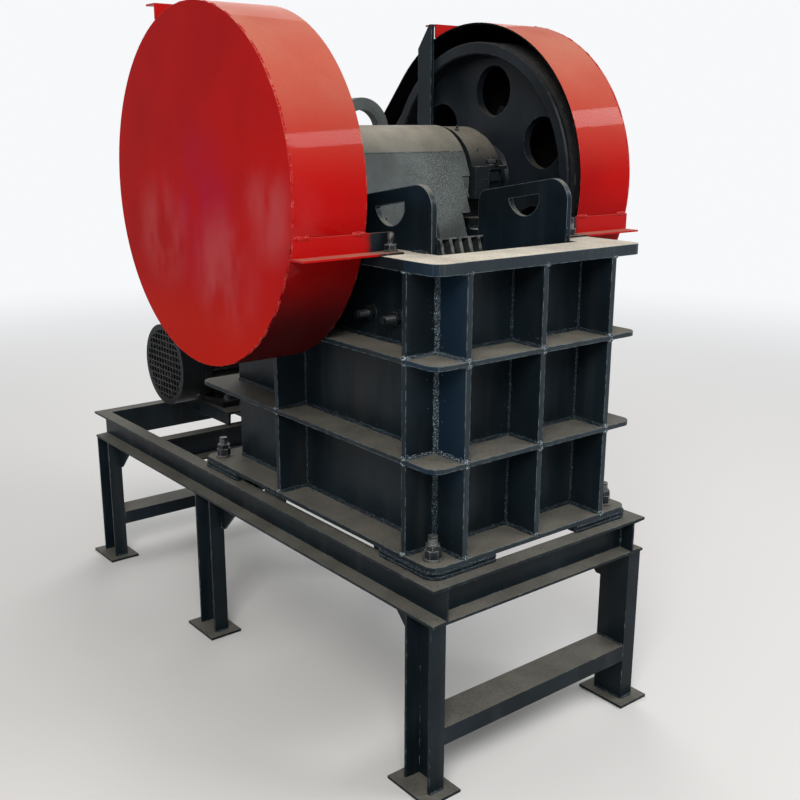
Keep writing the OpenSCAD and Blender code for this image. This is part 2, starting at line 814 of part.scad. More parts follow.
// flywheel profile: x is the radius, y runs outwards along the shaft
module flywheel_section(grooves) {
  rim_r = flywheel_d/2;
  rim_in = rim_r - rim_t;
  web_in = web_recess;
  web_out = web_recess + web_t;
  difference() {
    polygon([
      [shaft_r + 0.05, 3], [hub_d/2 - 4, 3], [hub_d/2, web_in - 8], [hub_d/2 + 8, web_in],
      [rim_in - 10, web_in], [rim_in, web_in - 10], [rim_in, 4], [rim_in + 4, 0], [rim_r - 4, 0], [rim_r, 4],
      [rim_r, flywheel_width - 4], [rim_r - 4, flywheel_width], [rim_in + 4, flywheel_width],
      [rim_in, flywheel_width - 4], [rim_in, web_out + 10], [rim_in - 10, web_out],
      [hub_d/2 + 8, web_out], [hub_d/2, web_out + 8], [hub_d/2 - 4, flywheel_width],
      [shaft_r + 0.05, flywheel_width]
    ]);
    if (grooves)
      for (i = [0:belt_count - 1])
        groove_section(rim_r, belt_first_y - flywheel_in + i*belt_pitch);
  }
}

// a V-groove cut at radius r and place y: the belt's section with play round it
module groove_section(r, y) {
  half_out = belt_width/2 + belt_gap;
  half_in = belt_width/2 - belt_height*0.31 + belt_gap;
  polygon([
    [r + 2, y - half_out - 0.9], [r + 2, y + half_out + 0.9],
    [r - groove_depth, y + half_in], [r - groove_depth, y - half_in]
  ]);
}

module flywheel(grooves) {
  color(colour_black) translate([shaft_x, flywheel_in, shaft_z]) rotate([-90, 0, 0]) difference() {
    rotate_extrude($fn = 160) flywheel_section(grooves);
    for (i = [0:web_holes - 1])
      rotate(-25 - i*360/web_holes) translate([web_hole_pitch_r, 0, web_recess - 3])
        cylinder(h = web_t + 6, r = web_hole_d/2);
  }
}

module flywheel_near() { mirror([0, 1, 0]) flywheel(false); }
module flywheel_far() { flywheel(true); }

// guards
// two circles round the shaft and the motor, with straight sides that cut a hair into the circles
module drive_outline(big, small) {
  lean = asin((big - small)/drive_length);
  upper = drive_angle - 90 + lean;
  lower = drive_angle + 90 - lean;
  function on_big(a) = [shaft_x, shaft_z] + (big - side_ease)*[cos(a), sin(a)];
  function on_small(a) = [motor_x, motor_z] + (small - side_ease)*[cos(a), sin(a)];
  translate([shaft_x, shaft_z]) circle(big);
  translate([motor_x, motor_z]) circle(small);
  polygon([on_big(upper), on_small(upper), on_small(lower), on_big(lower)]);
}

module guard_disc_near() {
  color(colour_guard) mirror([0, 1, 0]) bore_y(shaft_x, shaft_z, guard_r, guard_out - guard_t, guard_out);
}

module guard_band_near() {
  color(colour_guard) mirror([0, 1, 0]) difference() {
    bore_y(shaft_x, shaft_z, guard_r, guard_in, guard_out - guard_t);
    bore_y(shaft_x, shaft_z, guard_r - guard_t, guard_in - eps, guard_out);
  }
}

module guard_disc_far() {
  color(colour_guard) xz_plate(guard_out - guard_t, guard_out) drive_outline(guard_r, belt_guard_r);
}

module guard_band_far() {
  color(colour_guard) xz_plate(guard_in, guard_out - guard_t) difference() {
    drive_outline(guard_r, belt_guard_r);
    drive_outline(guard_r - guard_t, belt_guard_r - guard_t);
  }
}

// angle brackets: one under the front of each guard, one over its back
module guard_brackets() {
  color(colour_guard) both_sides() {
    translate([0, guard_out, 0]) rotate([90, 0, 0]) linear_extrude(guard_out - bracket_inner_y) {
      translate([bracket_back, frame_top]) square([angle_leg, angle_t]);
      translate([bracket_back, frame_top]) square([angle_t, angle_leg]);
    }
    translate([0, guard_out, 0]) rotate([90, 0, 0]) linear_extrude(guard_width) {
      translate([rear_angle_x - angle_t, rear_angle_z]) square([angle_t, rear_leg]);
      translate([rear_angle_x - angle_leg, rear_angle_z + rear_leg - angle_t]) square([angle_leg, angle_t]);
    }
  }
  // foot of the belt guard on the stand
  color(colour_guard) translate([motor_x - 35, guard_in, stand_height])
    cube([70, stand_width/2 - guard_in, motor_z - belt_guard_r - seat_play - stand_height]);
}

module guard_bars() {
  color(colour_frame) both_sides()
    xz_plate(frame_width/2, guard_in) polygon([
      [bar_front_x - bar_width, top_flange_bottom], [bar_front_x, top_flange_bottom], [bar_front_x, bar_top],
      [bar_front_x - 12, bar_top], [bar_front_x - bar_width, bar_top - 70]
    ]);
}

// toggle and tension rod
module toggle_block() {
  half = 80;
  color(colour_casting) difference() {
    xz_plate(-wall_inner_y + 1, wall_inner_y - 1) polygon([
      [rear_wall_in, toggle_z - half], [block_front - 40, toggle_z - half], [block_front, toggle_z - 40],
      [block_front, toggle_z + 40], [block_front - 40, toggle_z + half], [rear_wall_in, toggle_z + half]
    ]);
    bore_y(block_front, toggle_z, toggle_end_r + seat_play, -wall_inner_y, wall_inner_y);
  }
}

module toggle_plate() {
  half = body_width/2 - 20;
  color(colour_casting) xz_plate(-half, half) union() {
    translate([block_front, toggle_z - toggle_t/2]) square([toggle_front_x - block_front, toggle_t]);
    for (x = [block_front, toggle_front_x]) translate([x, toggle_z]) circle(toggle_end_r);
  }
}

module tension_rod() {
  washer_back = spring_seat_x - spring_length - washer_t;
  washer_r = 48;
  nut_h = 36;
  rod_back = washer_back - nut_h - 14;
  color(colour_steel) {
    translate([rod_back, 0, rod_z]) rotate([0, 90, 0]) cylinder(h = rod_pin_x - 24 - rod_back, r = rod_d/2);
    // eye with room for the jaw's travel
    xz_plate(-rod_eye_t/2, rod_eye_t/2) difference() {
      union() {
        for (x = [rod_pin_x, rod_pin_x + jaw_travel_x]) translate([x, rod_z]) circle(rod_eye_r);
        translate([rod_pin_x, rod_z - rod_eye_r]) square([jaw_travel_x, 2*rod_eye_r]);
      }
      translate([rod_pin_x - rod_pin_r - seat_play, rod_z - rod_pin_r - seat_play])
        square([2*(rod_pin_r + seat_play) + jaw_travel_x, 2*(rod_pin_r + seat_play) + jaw_travel_z]);
    }
    for (x = [spring_seat_x, washer_back])
      translate([x, 0, rod_z]) rotate([0, 90, 0]) cylinder(h = washer_t, r = washer_r);
    translate([washer_back - nut_h, 0, rod_z]) rotate([0, 90, 0]) cylinder(h = nut_h, r = rod_d*0.9, $fn = 6);
  }
}

module tension_spring() {
  steps = 14;
  sides = 8;
  wire = spring_wire_r;
  rise = spring_length - 2*wire - 0.6;
  count = coil_count*steps;
  function at(i) = let (a = 360*i/steps)
    [spring_seat_x - wire - seat_play - rise*i/count, spring_r*cos(a), spring_r*sin(a)];
  function ring(i) = let (a = 360*i/steps, c = at(i))
    [for (k = [0:sides - 1]) let (b = 360*k/sides)
      c + wire*[cos(b), sin(b)*cos(a), sin(b)*sin(a)]];
  color(colour_steel) translate([0, 0, rod_z]) polyhedron(
    points = [for (i = [0:count]) each ring(i)],
    faces = concat(
      [[for (k = [0:sides - 1]) k]],
      [for (i = [0:count - 1], k = [0:sides - 1])
        [i*sides + k, (i + 1)*sides + k, (i + 1)*sides + (k + 1)%sides, i*sides + (k + 1)%sides]],
      [[for (k = [sides - 1:-1:0]) count*sides + k]]
    )
  );
}

// motor
module motor_body() {
  core_r = 122;
  fin_r = 146;
  fin_t = 4;
  shield_t = 26;
  body_start = motor_fan_y + fan_cover_length;
  foot_y = [rail_y_near, rail_y_far];
  foot = [300, 64, 22];
  neck = [180, 44, 60];
  box = [110, 120, 70];
  color(colour_black) {
    translate([motor_x, body_start, motor_z]) rotate([-90, 0, 0]) {
      cylinder(h = shield_t, r = fin_r);
      translate([0, 0, shield_t]) linear_extrude(motor_end_y - body_start - 2*shield_t) {
        circle(core_r);
        for (i = [0:fin_count - 1])
          rotate((i + 0.5)*360/fin_count) translate([core_r - 4, -fin_t/2]) square([fin_r - core_r, fin_t]);
      }
      translate([0, 0, motor_end_y - body_start - shield_t]) cylinder(h = shield_t - 8, r = fin_r);
      translate([0, 0, motor_end_y - body_start - 8]) cylinder(h = 8, r = 70);
      cylinder(h = motor_end_y - body_start + motor_shaft_length, r = motor_shaft_d/2);
    }
    for (y = foot_y) translate([motor_x, y, stand_height + channel_flange]) {
      translate([-foot[0]/2, -foot[1]/2, 0]) cube(foot);
      translate([-neck[0]/2, -neck[1]/2, 0]) cube(neck);
    }
    translate([motor_x - box[0]/2, (rail_y_near + rail_y_far)/2 - box[1]/2, motor_z + core_r - 10]) cube(box);
  }
}

module motor_fan_cover() {
  wall = 4;
  bar = 5;
  grille_r = fan_cover_r - 16;
  cell = 22;
  cells = floor(grille_r/cell);
  color(colour_black) translate([motor_x, motor_fan_y, motor_z]) rotate([-90, 0, 0]) {
    difference() {
      cylinder(h = fan_cover_length, r = fan_cover_r + 4);
      translate([0, 0, wall]) cylinder(h = fan_cover_length, r = fan_cover_r);
      translate([0, 0, -eps]) cylinder(h = wall + 2*eps, r = grille_r);
    }
    linear_extrude(wall) intersection() {
      circle(grille_r + 2);
      union() for (i = [-cells:cells]) {
        translate([i*cell - bar/2, -grille_r - 2]) square([bar, 2*grille_r + 4]);
        translate([-grille_r - 2, i*cell - bar/2]) square([2*grille_r + 4, bar]);
      }
    }
  }
}

module motor_pulley() {
  r = pulley_d/2;
  color(colour_casting) translate([motor_x, pulley_in, motor_z]) rotate([-90, 0, 0])
    rotate_extrude($fn = 120) difference() {
      translate([motor_shaft_d/2 + 0.05, 0]) square([r - motor_shaft_d/2 - 0.05, pulley_width]);
      for (i = [0:belt_count - 1]) groove_section(r, belt_first_y - pulley_in + i*belt_pitch);
      translate([50, pulley_width - 30]) square([r - 50 - 34, 40]);
    }
}

// section of a V-belt with its top at x = 0; the strands are a hair slimmer than the arcs they run into
module belt_section(slimmer = 0) {
  half_in = belt_width/2 - belt_height*0.31;
  offset_in = belt_height - slimmer;
  polygon([
    [-slimmer, slimmer - belt_width/2], [-slimmer, belt_width/2 - slimmer],
    [-offset_in, half_in - slimmer], [-offset_in, slimmer - half_in]
  ]);
}

module v_belt() {
  upper = drive_angle - 90 + strand_lean;
  lower = drive_angle + 90 - strand_lean;
  strand = sqrt(drive_length*drive_length - pow(belt_outer_big - belt_outer_small, 2));
  // arcs in a frame whose Z runs along -Y, so angles turn the same way as in XZ
  rotate([90, 0, 0]) {
    translate([shaft_x, shaft_z, 0]) rotate(lower) rotate_extrude(angle = 360 + upper - lower, $fn = 120)
      translate([belt_outer_big, 0]) belt_section();
    translate([motor_x, motor_z, 0]) rotate(upper) rotate_extrude(angle = lower - upper, $fn = 120)
      translate([belt_outer_small, 0]) belt_section();
    translate([shaft_x, shaft_z, 0]) rotate(upper) translate([belt_outer_big, -splice, 0])
      rotate([-90, 0, 0]) linear_extrude(strand + 2*splice) belt_section(belt_slimmer);
    translate([shaft_x, shaft_z, 0]) rotate(lower) translate([belt_outer_big, splice, 0]) rotate([90, 0, 0])
      linear_extrude(strand + 2*splice) belt_section(belt_slimmer);
  }
}

module v_belts() {
  color(colour_black)
    for (i = [0:belt_count - 1]) translate([0, belt_first_y + i*belt_pitch, 0]) v_belt();
}

mirror([0, 1, 0]) long_beam();  // stand_beam_near
long_beam();  // stand_beam_far
end_beam();  // stand_beam_front
mirror([1, 0, 0]) end_beam();  // stand_beam_rear
stand_cross_beams();
stand_legs_front();
stand_legs_middle();
stand_legs_rear();
stand_ties();
motor_rails();
corner_pads();
anchor_bolts();
base_flange();
lower_rib();
upper_rib();
top_flange();
mirror([0, 1, 0]) side_wall();  // side_wall_near
side_wall();  // side_wall_far
front_wall();
rear_wall();
front_upright_ribs();
mirror([0, 1, 0]) side_upright_ribs();  // side_upright_ribs_near
side_upright_ribs();  // side_upright_ribs_far
mirror([0, 1, 0]) cheek_plate();  // cheek_plate_near
cheek_plate();  // cheek_plate_far
cheek_bolts();
fixed_jaw_plate();
swing_jaw_plate();
pitman();
lifting_eye();
bearing_housings();
bearing_caps();
eccentric_shaft();
flywheel_near();
flywheel_far();
guard_disc_near();
guard_band_near();
guard_disc_far();
guard_band_far();
guard_brackets();
guard_bars();
toggle_block();
toggle_plate();
tension_rod();
tension_spring();
motor_body();
motor_fan_cover();
motor_pulley();
v_belts();
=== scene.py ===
# %% [markdown]
# A small jaw crusher on its channel-section stand.
# The packed model gives every plate, shaft and beam at its real place, in metres, with +X towards the
# fixed jaw and +Y towards the belt drive. This notebook adds what the packed model leaves out: paint, dust
# and wear, weld beads, nuts and washers, and the finer parts of the motor.

# %% The packed model
import json
import math
import random
from itertools import chain, combinations, product

import bmesh
import bpy
from mathutils import Matrix, Vector, noise


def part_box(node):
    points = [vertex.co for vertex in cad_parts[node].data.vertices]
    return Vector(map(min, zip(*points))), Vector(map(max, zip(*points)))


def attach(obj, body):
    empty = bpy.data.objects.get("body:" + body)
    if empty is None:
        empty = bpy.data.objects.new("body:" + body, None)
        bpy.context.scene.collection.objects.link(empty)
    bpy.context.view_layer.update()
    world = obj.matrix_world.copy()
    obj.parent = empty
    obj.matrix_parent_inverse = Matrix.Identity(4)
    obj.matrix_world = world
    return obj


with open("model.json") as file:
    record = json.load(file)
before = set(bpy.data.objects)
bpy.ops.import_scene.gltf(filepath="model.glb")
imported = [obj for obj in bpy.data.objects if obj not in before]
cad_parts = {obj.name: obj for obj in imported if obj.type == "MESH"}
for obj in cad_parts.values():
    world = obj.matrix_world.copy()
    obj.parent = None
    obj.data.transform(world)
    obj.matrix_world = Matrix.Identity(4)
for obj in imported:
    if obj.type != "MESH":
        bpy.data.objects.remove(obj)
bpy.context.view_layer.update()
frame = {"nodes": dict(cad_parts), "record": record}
scene = bpy.context.scene
X, Y, Z = Vector((1, 0, 0)), Vector((0, 1, 0)), Vector((0, 0, 1))
SEED = 27
random.seed(SEED)

# %% [markdown]
# The camera comes first, because the likeness is judged through it.
# Its place, direction and lens were worked out from the straight edges of the machine in the photograph:
# the edges along each axis meet in a vanishing point, and the three points together fix the camera.

# %% Camera
IMAGE_WIDTH = 800
FOCAL_PIXELS = 1039.14
SENSOR_WIDTH = 36.0
CLIP_END = 60
CAMERA_PLACE = Vector((2.7125, -1.861, 1.647))
CAMERA_YAW = math.radians(51.402)
CAMERA_PITCH = math.radians(-15.093)
CAMERA_ROLL = math.radians(0.186)

camera_data = bpy.data.cameras.new("camera")
camera_data.sensor_width = SENSOR_WIDTH
camera_data.lens = FOCAL_PIXELS * SENSOR_WIDTH / IMAGE_WIDTH
camera_data.clip_end = CLIP_END
camera = bpy.data.objects.new("camera", camera_data)
turn = Matrix.Rotation(CAMERA_YAW, 4, "Z") @ Matrix.Rotation(math.pi / 2 + CAMERA_PITCH, 4, "X")
camera.matrix_world = Matrix.Translation(CAMERA_PLACE) @ turn @ Matrix.Rotation(CAMERA_ROLL, 4, "Z")
scene.collection.objects.link(camera)
scene.camera = camera
print("lens:", round(camera_data.lens, 2), "mm")

# %% [markdown]
# The world, the floor and every finish are networks of nodes. Blender takes one call to make a node and
# one more for each of its sockets, which hides the sum that a network works out. This class takes a kind
# of node together with what goes into its sockets, so that the networks below read like formulas.

# %% Networks of nodes


class Network:
    """The nodes of a world or a material."""

    def __init__(self, owner):
        owner.use_nodes = True
        self.tree = owner.node_tree

    def feed(self, socket, value):
        """Gives a socket a plain number or colour, or links another node's output to it."""
        if isinstance(value, bpy.types.NodeSocket):
            self.tree.links.new(value, socket)
        else:
            socket.default_value = (*value, 1) if socket.type == "RGBA" else value

    def node(self, kind, sockets=None, **settings):
        """A new node with its settings, and with its sockets fed by name or number."""
        made = self.tree.nodes.new("ShaderNode" + kind)
        for key, value in settings.items():
            setattr(made, key, value)
        for key, value in (sockets or {}).items():
            self.feed(made.inputs[key], value)
        return made

    def math(self, operation, first, second=0.0):
        return self.node("Math", {0: first, 1: second}, operation=operation).outputs[0]

    def times(self, first, *others):
        for other in others:
            first = self.math("MULTIPLY", first, other)
        return first

    def inverse(self, value):
        """1 where the value is 0, and 0 where it is 1."""
        return self.math("SUBTRACT", 1.0, value)

    def vector(self, operation, first, second=(0, 0, 0)):
        made = self.node("VectorMath", {0: first, 1: second}, operation=operation)
        return made.outputs["Vector" if operation == "SUBTRACT" else "Value"]

    def ramp(self, value, low, high):
        """0 below low and 1 above high, with a smooth step between."""
        sockets = {"Value": value, "From Min": low, "From Max": high}
        return self.node("MapRange", sockets, interpolation_type="SMOOTHSTEP").outputs["Result"]

    def mixed(self, mask, under, over):
        """Mixes two colours or two numbers: over shows where the mask is 1."""
        kind, socket, output = ("RGBA", 6, 2) if isinstance(over, tuple) else ("FLOAT", 2, 0)
        made = self.node("Mix", {0: mask, socket: under, socket + 1: over}, data_type=kind)
        return made.outputs[output]

    def seen_rays(self):
        """1 for rays that show the background: straight, mirrored or through glass."""
        path = self.node("LightPath").outputs
        straight_or_mirrored = self.math("MAXIMUM", path["Is Camera Ray"], path["Is Glossy Ray"])
        return self.math("MAXIMUM", straight_or_mirrored, path["Is Transmission Ray"])


print("a network can add:", [name for name in vars(Network) if name[0] != "_"])

# %% [markdown]
# The studio is a pale floor under a pale world, with one large soft lamp for the main light and two weaker
# ones that draw the edges. The lamp on the far side is a long strip, as the roof lights of a workshop are:
# it leaves a bright streak across both guards. The world shows white to the camera and to reflections, but
# lights the machine at a plain level, so that a colour renders about as it is written. Far from the
# machine the floor fades to the world's white, so no horizon shows.

# %% Studio
FLOOR_COLOUR = (0.72, 0.71, 0.69)
FLOOR_ROUGHNESS = 0.9
FLOOR_HALF = 20.0
FLOOR_LEVEL = -0.0005
WORLD_LEVEL = 0.5
WORLD_COLOUR = (0.93, 0.94, 0.96)
FADE_FROM = 2.2
FADE_TO = 8.0
LAMPS = {
    "key_lamp": ((3.6, -3.2, 4.2), (0.2, 0, 1.0), (2.4, 2.4), 190, (1, 0.98, 0.95)),
    "strip_lamp": ((3.55, 3.3, 3.95), (0.4, 0, 1.2), (3.0, 0.7), 110, (0.95, 0.97, 1)),
    "back_lamp": ((-3.5, 2.5, 4.0), (0, 0, 1.2), (3.0, 3.0), 90, (1, 1, 1)),
}
SQUARE = ((-1, -1), (1, -1), (1, 1), (-1, 1))

scene.world = bpy.data.worlds.new("studio")
world = Network(scene.world)
background = world.tree.nodes["Background"].inputs
world.feed(background["Color"], WORLD_COLOUR)
world.feed(background["Strength"], world.mixed(world.seen_rays(), WORLD_LEVEL, 1.0))

floor_paint = bpy.data.materials.new("floor")
network = Network(floor_paint)
shader = network.tree.nodes["Principled BSDF"]
network.feed(shader.inputs["Base Color"], FLOOR_COLOUR)
network.feed(shader.inputs["Roughness"], FLOOR_ROUGHNESS)
away = network.vector("LENGTH", network.node("NewGeometry").outputs["Position"])
share = network.times(network.ramp(away, FADE_FROM, FADE_TO), network.seen_rays())
glow = network.node("Emission", {"Color": WORLD_COLOUR})
both = network.node("MixShader", {0: share, 1: shader.outputs[0], 2: glow.outputs[0]})
network.feed(network.tree.nodes["Material Output"].inputs["Surface"], both.outputs[0])

mesh = bpy.data.meshes.new("floor")
mesh.from_pydata([(x * FLOOR_HALF, y * FLOOR_HALF, 0) for x, y in SQUARE], [], [(0, 1, 2, 3)])
mesh.materials.append(floor_paint)
floor = bpy.data.objects.new("floor", mesh)
floor.location.z = FLOOR_LEVEL
scene.collection.objects.link(floor)

for name, (place, target, size, watts, colour) in LAMPS.items():
    light = bpy.data.lights.new(name, "AREA")
    light.shape = "RECTANGLE"
    light.size, light.size_y = size
    light.energy = watts
    light.color = colour
    lamp = bpy.data.objects.new(name, light)
    aim = (Vector(target) - Vector(place)).to_track_quat("-Z", "Y")
    lamp.matrix_world = Matrix.Translation(place) @ aim.to_matrix().to_4x4()
    scene.collection.objects.link(lamp)

scene.view_settings.view_transform = "Standard"
print("lamps:", list(LAMPS))

# %% [markdown]
# Paint on a working machine is a stack of layers: the paint itself, a little faded in places, then dust on
# whatever faces up, then bare or pale metal where an edge has been rubbed. A finish could be one shader
# network drawn by hand for each part, but every part needs the same few layers with other tones. So a
# small class holds the shader while layers are laid over it, in the order in which they reach the real
# machine.
#
# Masks come from the place on the piece, from the direction that a face looks, and from the Bevel node,
# whose normal differs from the true one only close to an edge. Noise has a scale, which is about the
# number of its blobs in a metre, and a detail, which is how many finer layers lie over them.

# %% A finish in layers
THIN_DUST = 0.72
DUST_ROUGHNESS = 0.92
DUST_GRAIN = 170
WORN_ROUGHNESS = 0.4
WORN_SCALE, WORN_SPREAD = 45, 0.5


class Coat(Network):
    """A finish that is built up in layers, as paint, dust and wear are on the machine."""

    def __init__(self, name, paint, faded, gloss, patch=5.0):
        self.material = bpy.data.materials.new(name)
        super().__init__(self.material)
        self.patch = patch
        self.colour = self.mixed(self.ramp(self.clouds(patch, 4), 0.36, 0.66), paint, faded)
        self.roughness = self.mixed(self.clouds(patch * 6, 3), *gloss)
        self.height = None

    def place(self, stretch=(1, 1, 1)):
        """The point on the piece, in metres, stretched along each axis."""
        point = self.node("TexCoord").outputs["Object"]
        return self.node("Mapping", {"Vector": point, "Scale": stretch}).outputs["Vector"]

    def clouds(self, scale, detail=2.0, stretch=(1, 1, 1)):
        sockets = {"Vector": self.place(stretch), "Scale": scale, "Detail": detail}
        return self.node("TexNoise", sockets).outputs["Fac"]

    def along(self, direction):
        """How far a point lies along a direction, in metres."""
        return self.vector("DOT_PRODUCT", self.place(), direction)

    def aside(self):
        """How far a point lies from the middle of the machine, to either side."""
        return self.math("ABSOLUTE", self.along(Y))

    def normal(self):
        return self.node("NewGeometry").outputs["Normal"]

    def facing(self, axis):
        """How much a face looks along +X, +Y or +Z: 1 is straight along it."""
        return self.node("SeparateXYZ", {0: self.normal()}).outputs[axis]

    def near(self, point, radius):
        """1 at a point, falling to 0 at a radius from it."""
        distance = self.vector("DISTANCE", self.place(), point)
        return self.inverse(self.ramp(distance, radius * 0.2, radius))

    def inner_side(self, centre):
        """1 on faces that look towards a point, such as the inside of a drum round it."""
        offset = self.vector("SUBTRACT", self.place(), centre)
        return self.math("LESS_THAN", self.vector("DOT_PRODUCT", offset, self.normal()))

    def rounded(self, radius):
        """The normal of the piece with its sharp edges rounded."""
        return self.node("Bevel", {"Radius": radius}, samples=4).outputs[0]

    def edges(self, radius):
        """1 on the sharp edges of the piece, fading out at a radius from them."""
        alike = self.vector("DOT_PRODUCT", self.rounded(radius), self.normal())
        return self.ramp(self.inverse(alike), 0.015, 0.16)

    def layer(self, mask, colour, roughness):
        """Lays one more colour and roughness over what is there."""
        self.colour = self.mixed(mask, self.colour, colour)
        self.roughness = self.mixed(mask, self.roughness, roughness)

    def dust(self, tone, cover, start=0.45, even=THIN_DUST):
        """Dust on faces that look up, thick in patches; between its grains only the share even is left."""
        up = self.ramp(self.facing("Z"), start, 0.95)
        thick = self.ramp(self.clouds(self.patch * 2, 6), 0.3, 0.7)
        patches = self.mixed(thick, cover * THIN_DUST, cover)
        specks = self.mixed(self.ramp(self.clouds(DUST_GRAIN, 3), 0.3, 0.6), even, 1.0)
        self.layer(self.times(up, patches, specks), tone, DUST_ROUGHNESS)

    def wear(self, tone, amount, radius=0.0035):
        """Rubbed edges, broken up by noise; amount runs from 0 to 1."""
        more = WORN_SPREAD * amount
        broken = self.ramp(self.clouds(WORN_SCALE, 5), 0.72 - more, 0.9 - more)
        self.layer(self.times(self.edges(radius), broken), tone, WORN_ROUGHNESS)

    def bump(self, scale, depth, detail=2.0, stretch=(1, 1, 1)):
        """Adds noise to the height of the surface; depth is in metres."""
        grown = self.times(self.clouds(scale, detail, stretch), depth)
        self.height = grown if self.height is None else self.math("ADD", self.height, grown)

    def done(self, edge=0.0014, **more):
        """Joins the layers to the shader, rounds the edges for the light and sets more of its sockets."""
        bump = self.node("Bump", {"Distance": 1.0, "Height": self.height, "Normal": self.rounded(edge)})
        sockets = {"Base Color": self.colour, "Roughness": self.roughness, "Normal": bump.outputs[0]}
        for name, value in {**sockets, **more}.items():
            self.feed(self.tree.nodes["Principled BSDF"].inputs[name.replace("_", " ")], value)
        print("finish:", self.material.name)
        return self.material


print("a coat can add:", [name for name in vars(Coat) if name[0] != "_"])

# %% [markdown]
# The frame and the stand wear one dark blue-grey enamel, sprayed over welded plate. It is fairly glossy on
# the walls and dull with grey-brown dust on the ribs, and the thick top flange carries the most dust,
# because stone passes over it. Plates were cut by flame, which leaves fine upright grooves in patches of
# their narrow edges; noise that is squeezed across and drawn out upwards gives them. The foremost faces
# are a little paler. The side faces of the upper front corners carry a bluer tone, which is a painted
# reflection.

# %% Frame and stand finishes
SLATE = (0.0056, 0.0096, 0.0128)
SLATE_FADED = (0.0095, 0.016, 0.0215)
SLATE_BLUE = (0.0085, 0.0172, 0.0255)
SLATE_RIM = (0.03, 0.041, 0.049)
SLATE_WORN = (0.16, 0.21, 0.24)
DUST_BROWN = (0.205, 0.193, 0.16)
DUST_PALE = (0.74, 0.68, 0.56)
DULL_SHINE = 0.1
CORNER_BLUE_REFLECTION = (0.0078, 0.019, 0.033)
CORNER_FRONT = 0.84
CORNER_SIDE = 0.254
CORNER_STEP = 0.005
CORNER_FOOT, CORNER_FULL = 0.72, 0.86
FRONT_RIM = 0.954
RUNS_STRETCH = (1, 1, 0.1)
GROOVE_STRETCH = (300, 300, 10)
GROOVE_DEPTH = 0.0005
GROOVE_TONE = 0.13


def upper_corner(coat):
    """1 on the outer front corners of the frame, fading out towards its lowest bay."""
    forward = coat.ramp(coat.along(X), CORNER_FRONT, CORNER_FRONT + CORNER_STEP)
    outward = coat.ramp(coat.aside(), CORNER_SIDE, CORNER_SIDE + CORNER_STEP)
    return coat.times(forward, outward, coat.ramp(coat.along(Z), CORNER_FOOT, CORNER_FULL))


def flame_cut(coat):
    """Fine upright grooves in patches, for the narrow edges of a plate."""
    grooves = coat.ramp(coat.clouds(1, 2, GROOVE_STRETCH), 0.5, 0.68)
    patches = coat.ramp(coat.clouds(3.5, 1), 0.44, 0.6)
    upright = coat.inverse(coat.facing("Z"))
    coat.layer(coat.times(upright, grooves, patches, GROOVE_TONE), SLATE_WORN, 0.35)
    coat.bump(1, coat.times(patches, GROOVE_DEPTH), 2, GROOVE_STRETCH)


def wall_finish(name, cover, worn, cut=False, dust=DUST_BROWN, faded=SLATE_FADED, rim=0.62):
    coat = Coat(name, SLATE, faded, (0.24, 0.4))
    runs = coat.ramp(coat.clouds(16, 5, RUNS_STRETCH), 0.5, 0.75)
    coat.layer(coat.times(runs, 0.05), DUST_BROWN, 0.5)
    # painted reflection: a bluer tone on the side faces of the upper front corners
    turned_out = coat.ramp(coat.math("ABSOLUTE", coat.facing("Y")), 0.5, 0.8)
    coat.layer(coat.times(upper_corner(coat), turned_out), CORNER_BLUE_REFLECTION, 0.32)
    foremost = coat.ramp(coat.along(X), FRONT_RIM - 0.002, FRONT_RIM)
    coat.layer(coat.times(foremost, rim), SLATE_RIM, 0.34)
    if cut:
        flame_cut(coat)
    coat.dust(dust, cover)
    coat.wear(SLATE_WORN, worn)
    coat.bump(260, 0.0002, 3)
    coat.bump(14, 0.001, 1)
    return coat.done(Specular_IOR_Level=DULL_SHINE)


wall_paint = wall_finish("wall_paint", 0.7, 0.62)
# cheek plates: bluer patches and strong edge wear, partly real, partly painted reflection and highlight
cheek_paint = wall_finish("cheek_paint", 0.95, 0.95, faded=SLATE_BLUE)
rib_paint = wall_finish("rib_paint", 0.8, 0.6, cut=True)
upper_rib_paint = wall_finish("upper_rib_paint", 1.0, 0.7, cut=True)
flange_paint = wall_finish("top_flange_paint", 1.0, 0.7, cut=True, dust=DUST_PALE)
stand_paint = wall_finish("stand_paint", 0.68, 0.4, rim=0.0)

# %% [markdown]
# A weld bead sparkles where the plate beside it is smooth, because its ripples catch the light. The weld
# finish is the same enamel with a coarser skin and dim flecks a few millimetres wide, which noise picks
# out: they are painted glints, standing in for highlights on the ripples. The outer corners of the frame
# took the heaviest beads, and the photograph shows pale glints on those alone, so a mask from the place on
# the frame adds brighter painted glints and a paler painted sheen there.

# %% Weld finishes
WELD_GLINT = (0.2, 0.29, 0.35)
END_GLINT = (0.6, 0.69, 0.73)
CORNER_GLINT = (0.5, 0.64, 0.72)
GLINT_ROUGHNESS = 0.2


def weld_finish(name, paint, faded, glint_tone, share, corners=False):
    coat = Coat(name, paint, faded, (0.34, 0.55), 40)
    coat.dust(DUST_BROWN, 0.06)
    # painted glints: bright flecks that stand for highlights on the ripples
    coat.layer(coat.ramp(coat.clouds(600, 0), 0.72 - share, 0.76 - share), glint_tone, GLINT_ROUGHNESS)
    if corners:
        corner = upper_corner(coat)
        # painted sheen and brighter painted glints on the heaviest corner beads
        coat.layer(coat.times(corner, 0.22), SLATE_RIM, 0.34)
        corner_glints = coat.ramp(coat.clouds(520, 1), 0.635, 0.665)
        coat.layer(coat.times(corner, corner_glints), CORNER_GLINT, GLINT_ROUGHNESS)
    coat.bump(420, 0.0006, 2)
    coat.bump(160, 0.0006, 1)
    return coat.done(0.0006, Specular_IOR_Level=DULL_SHINE)


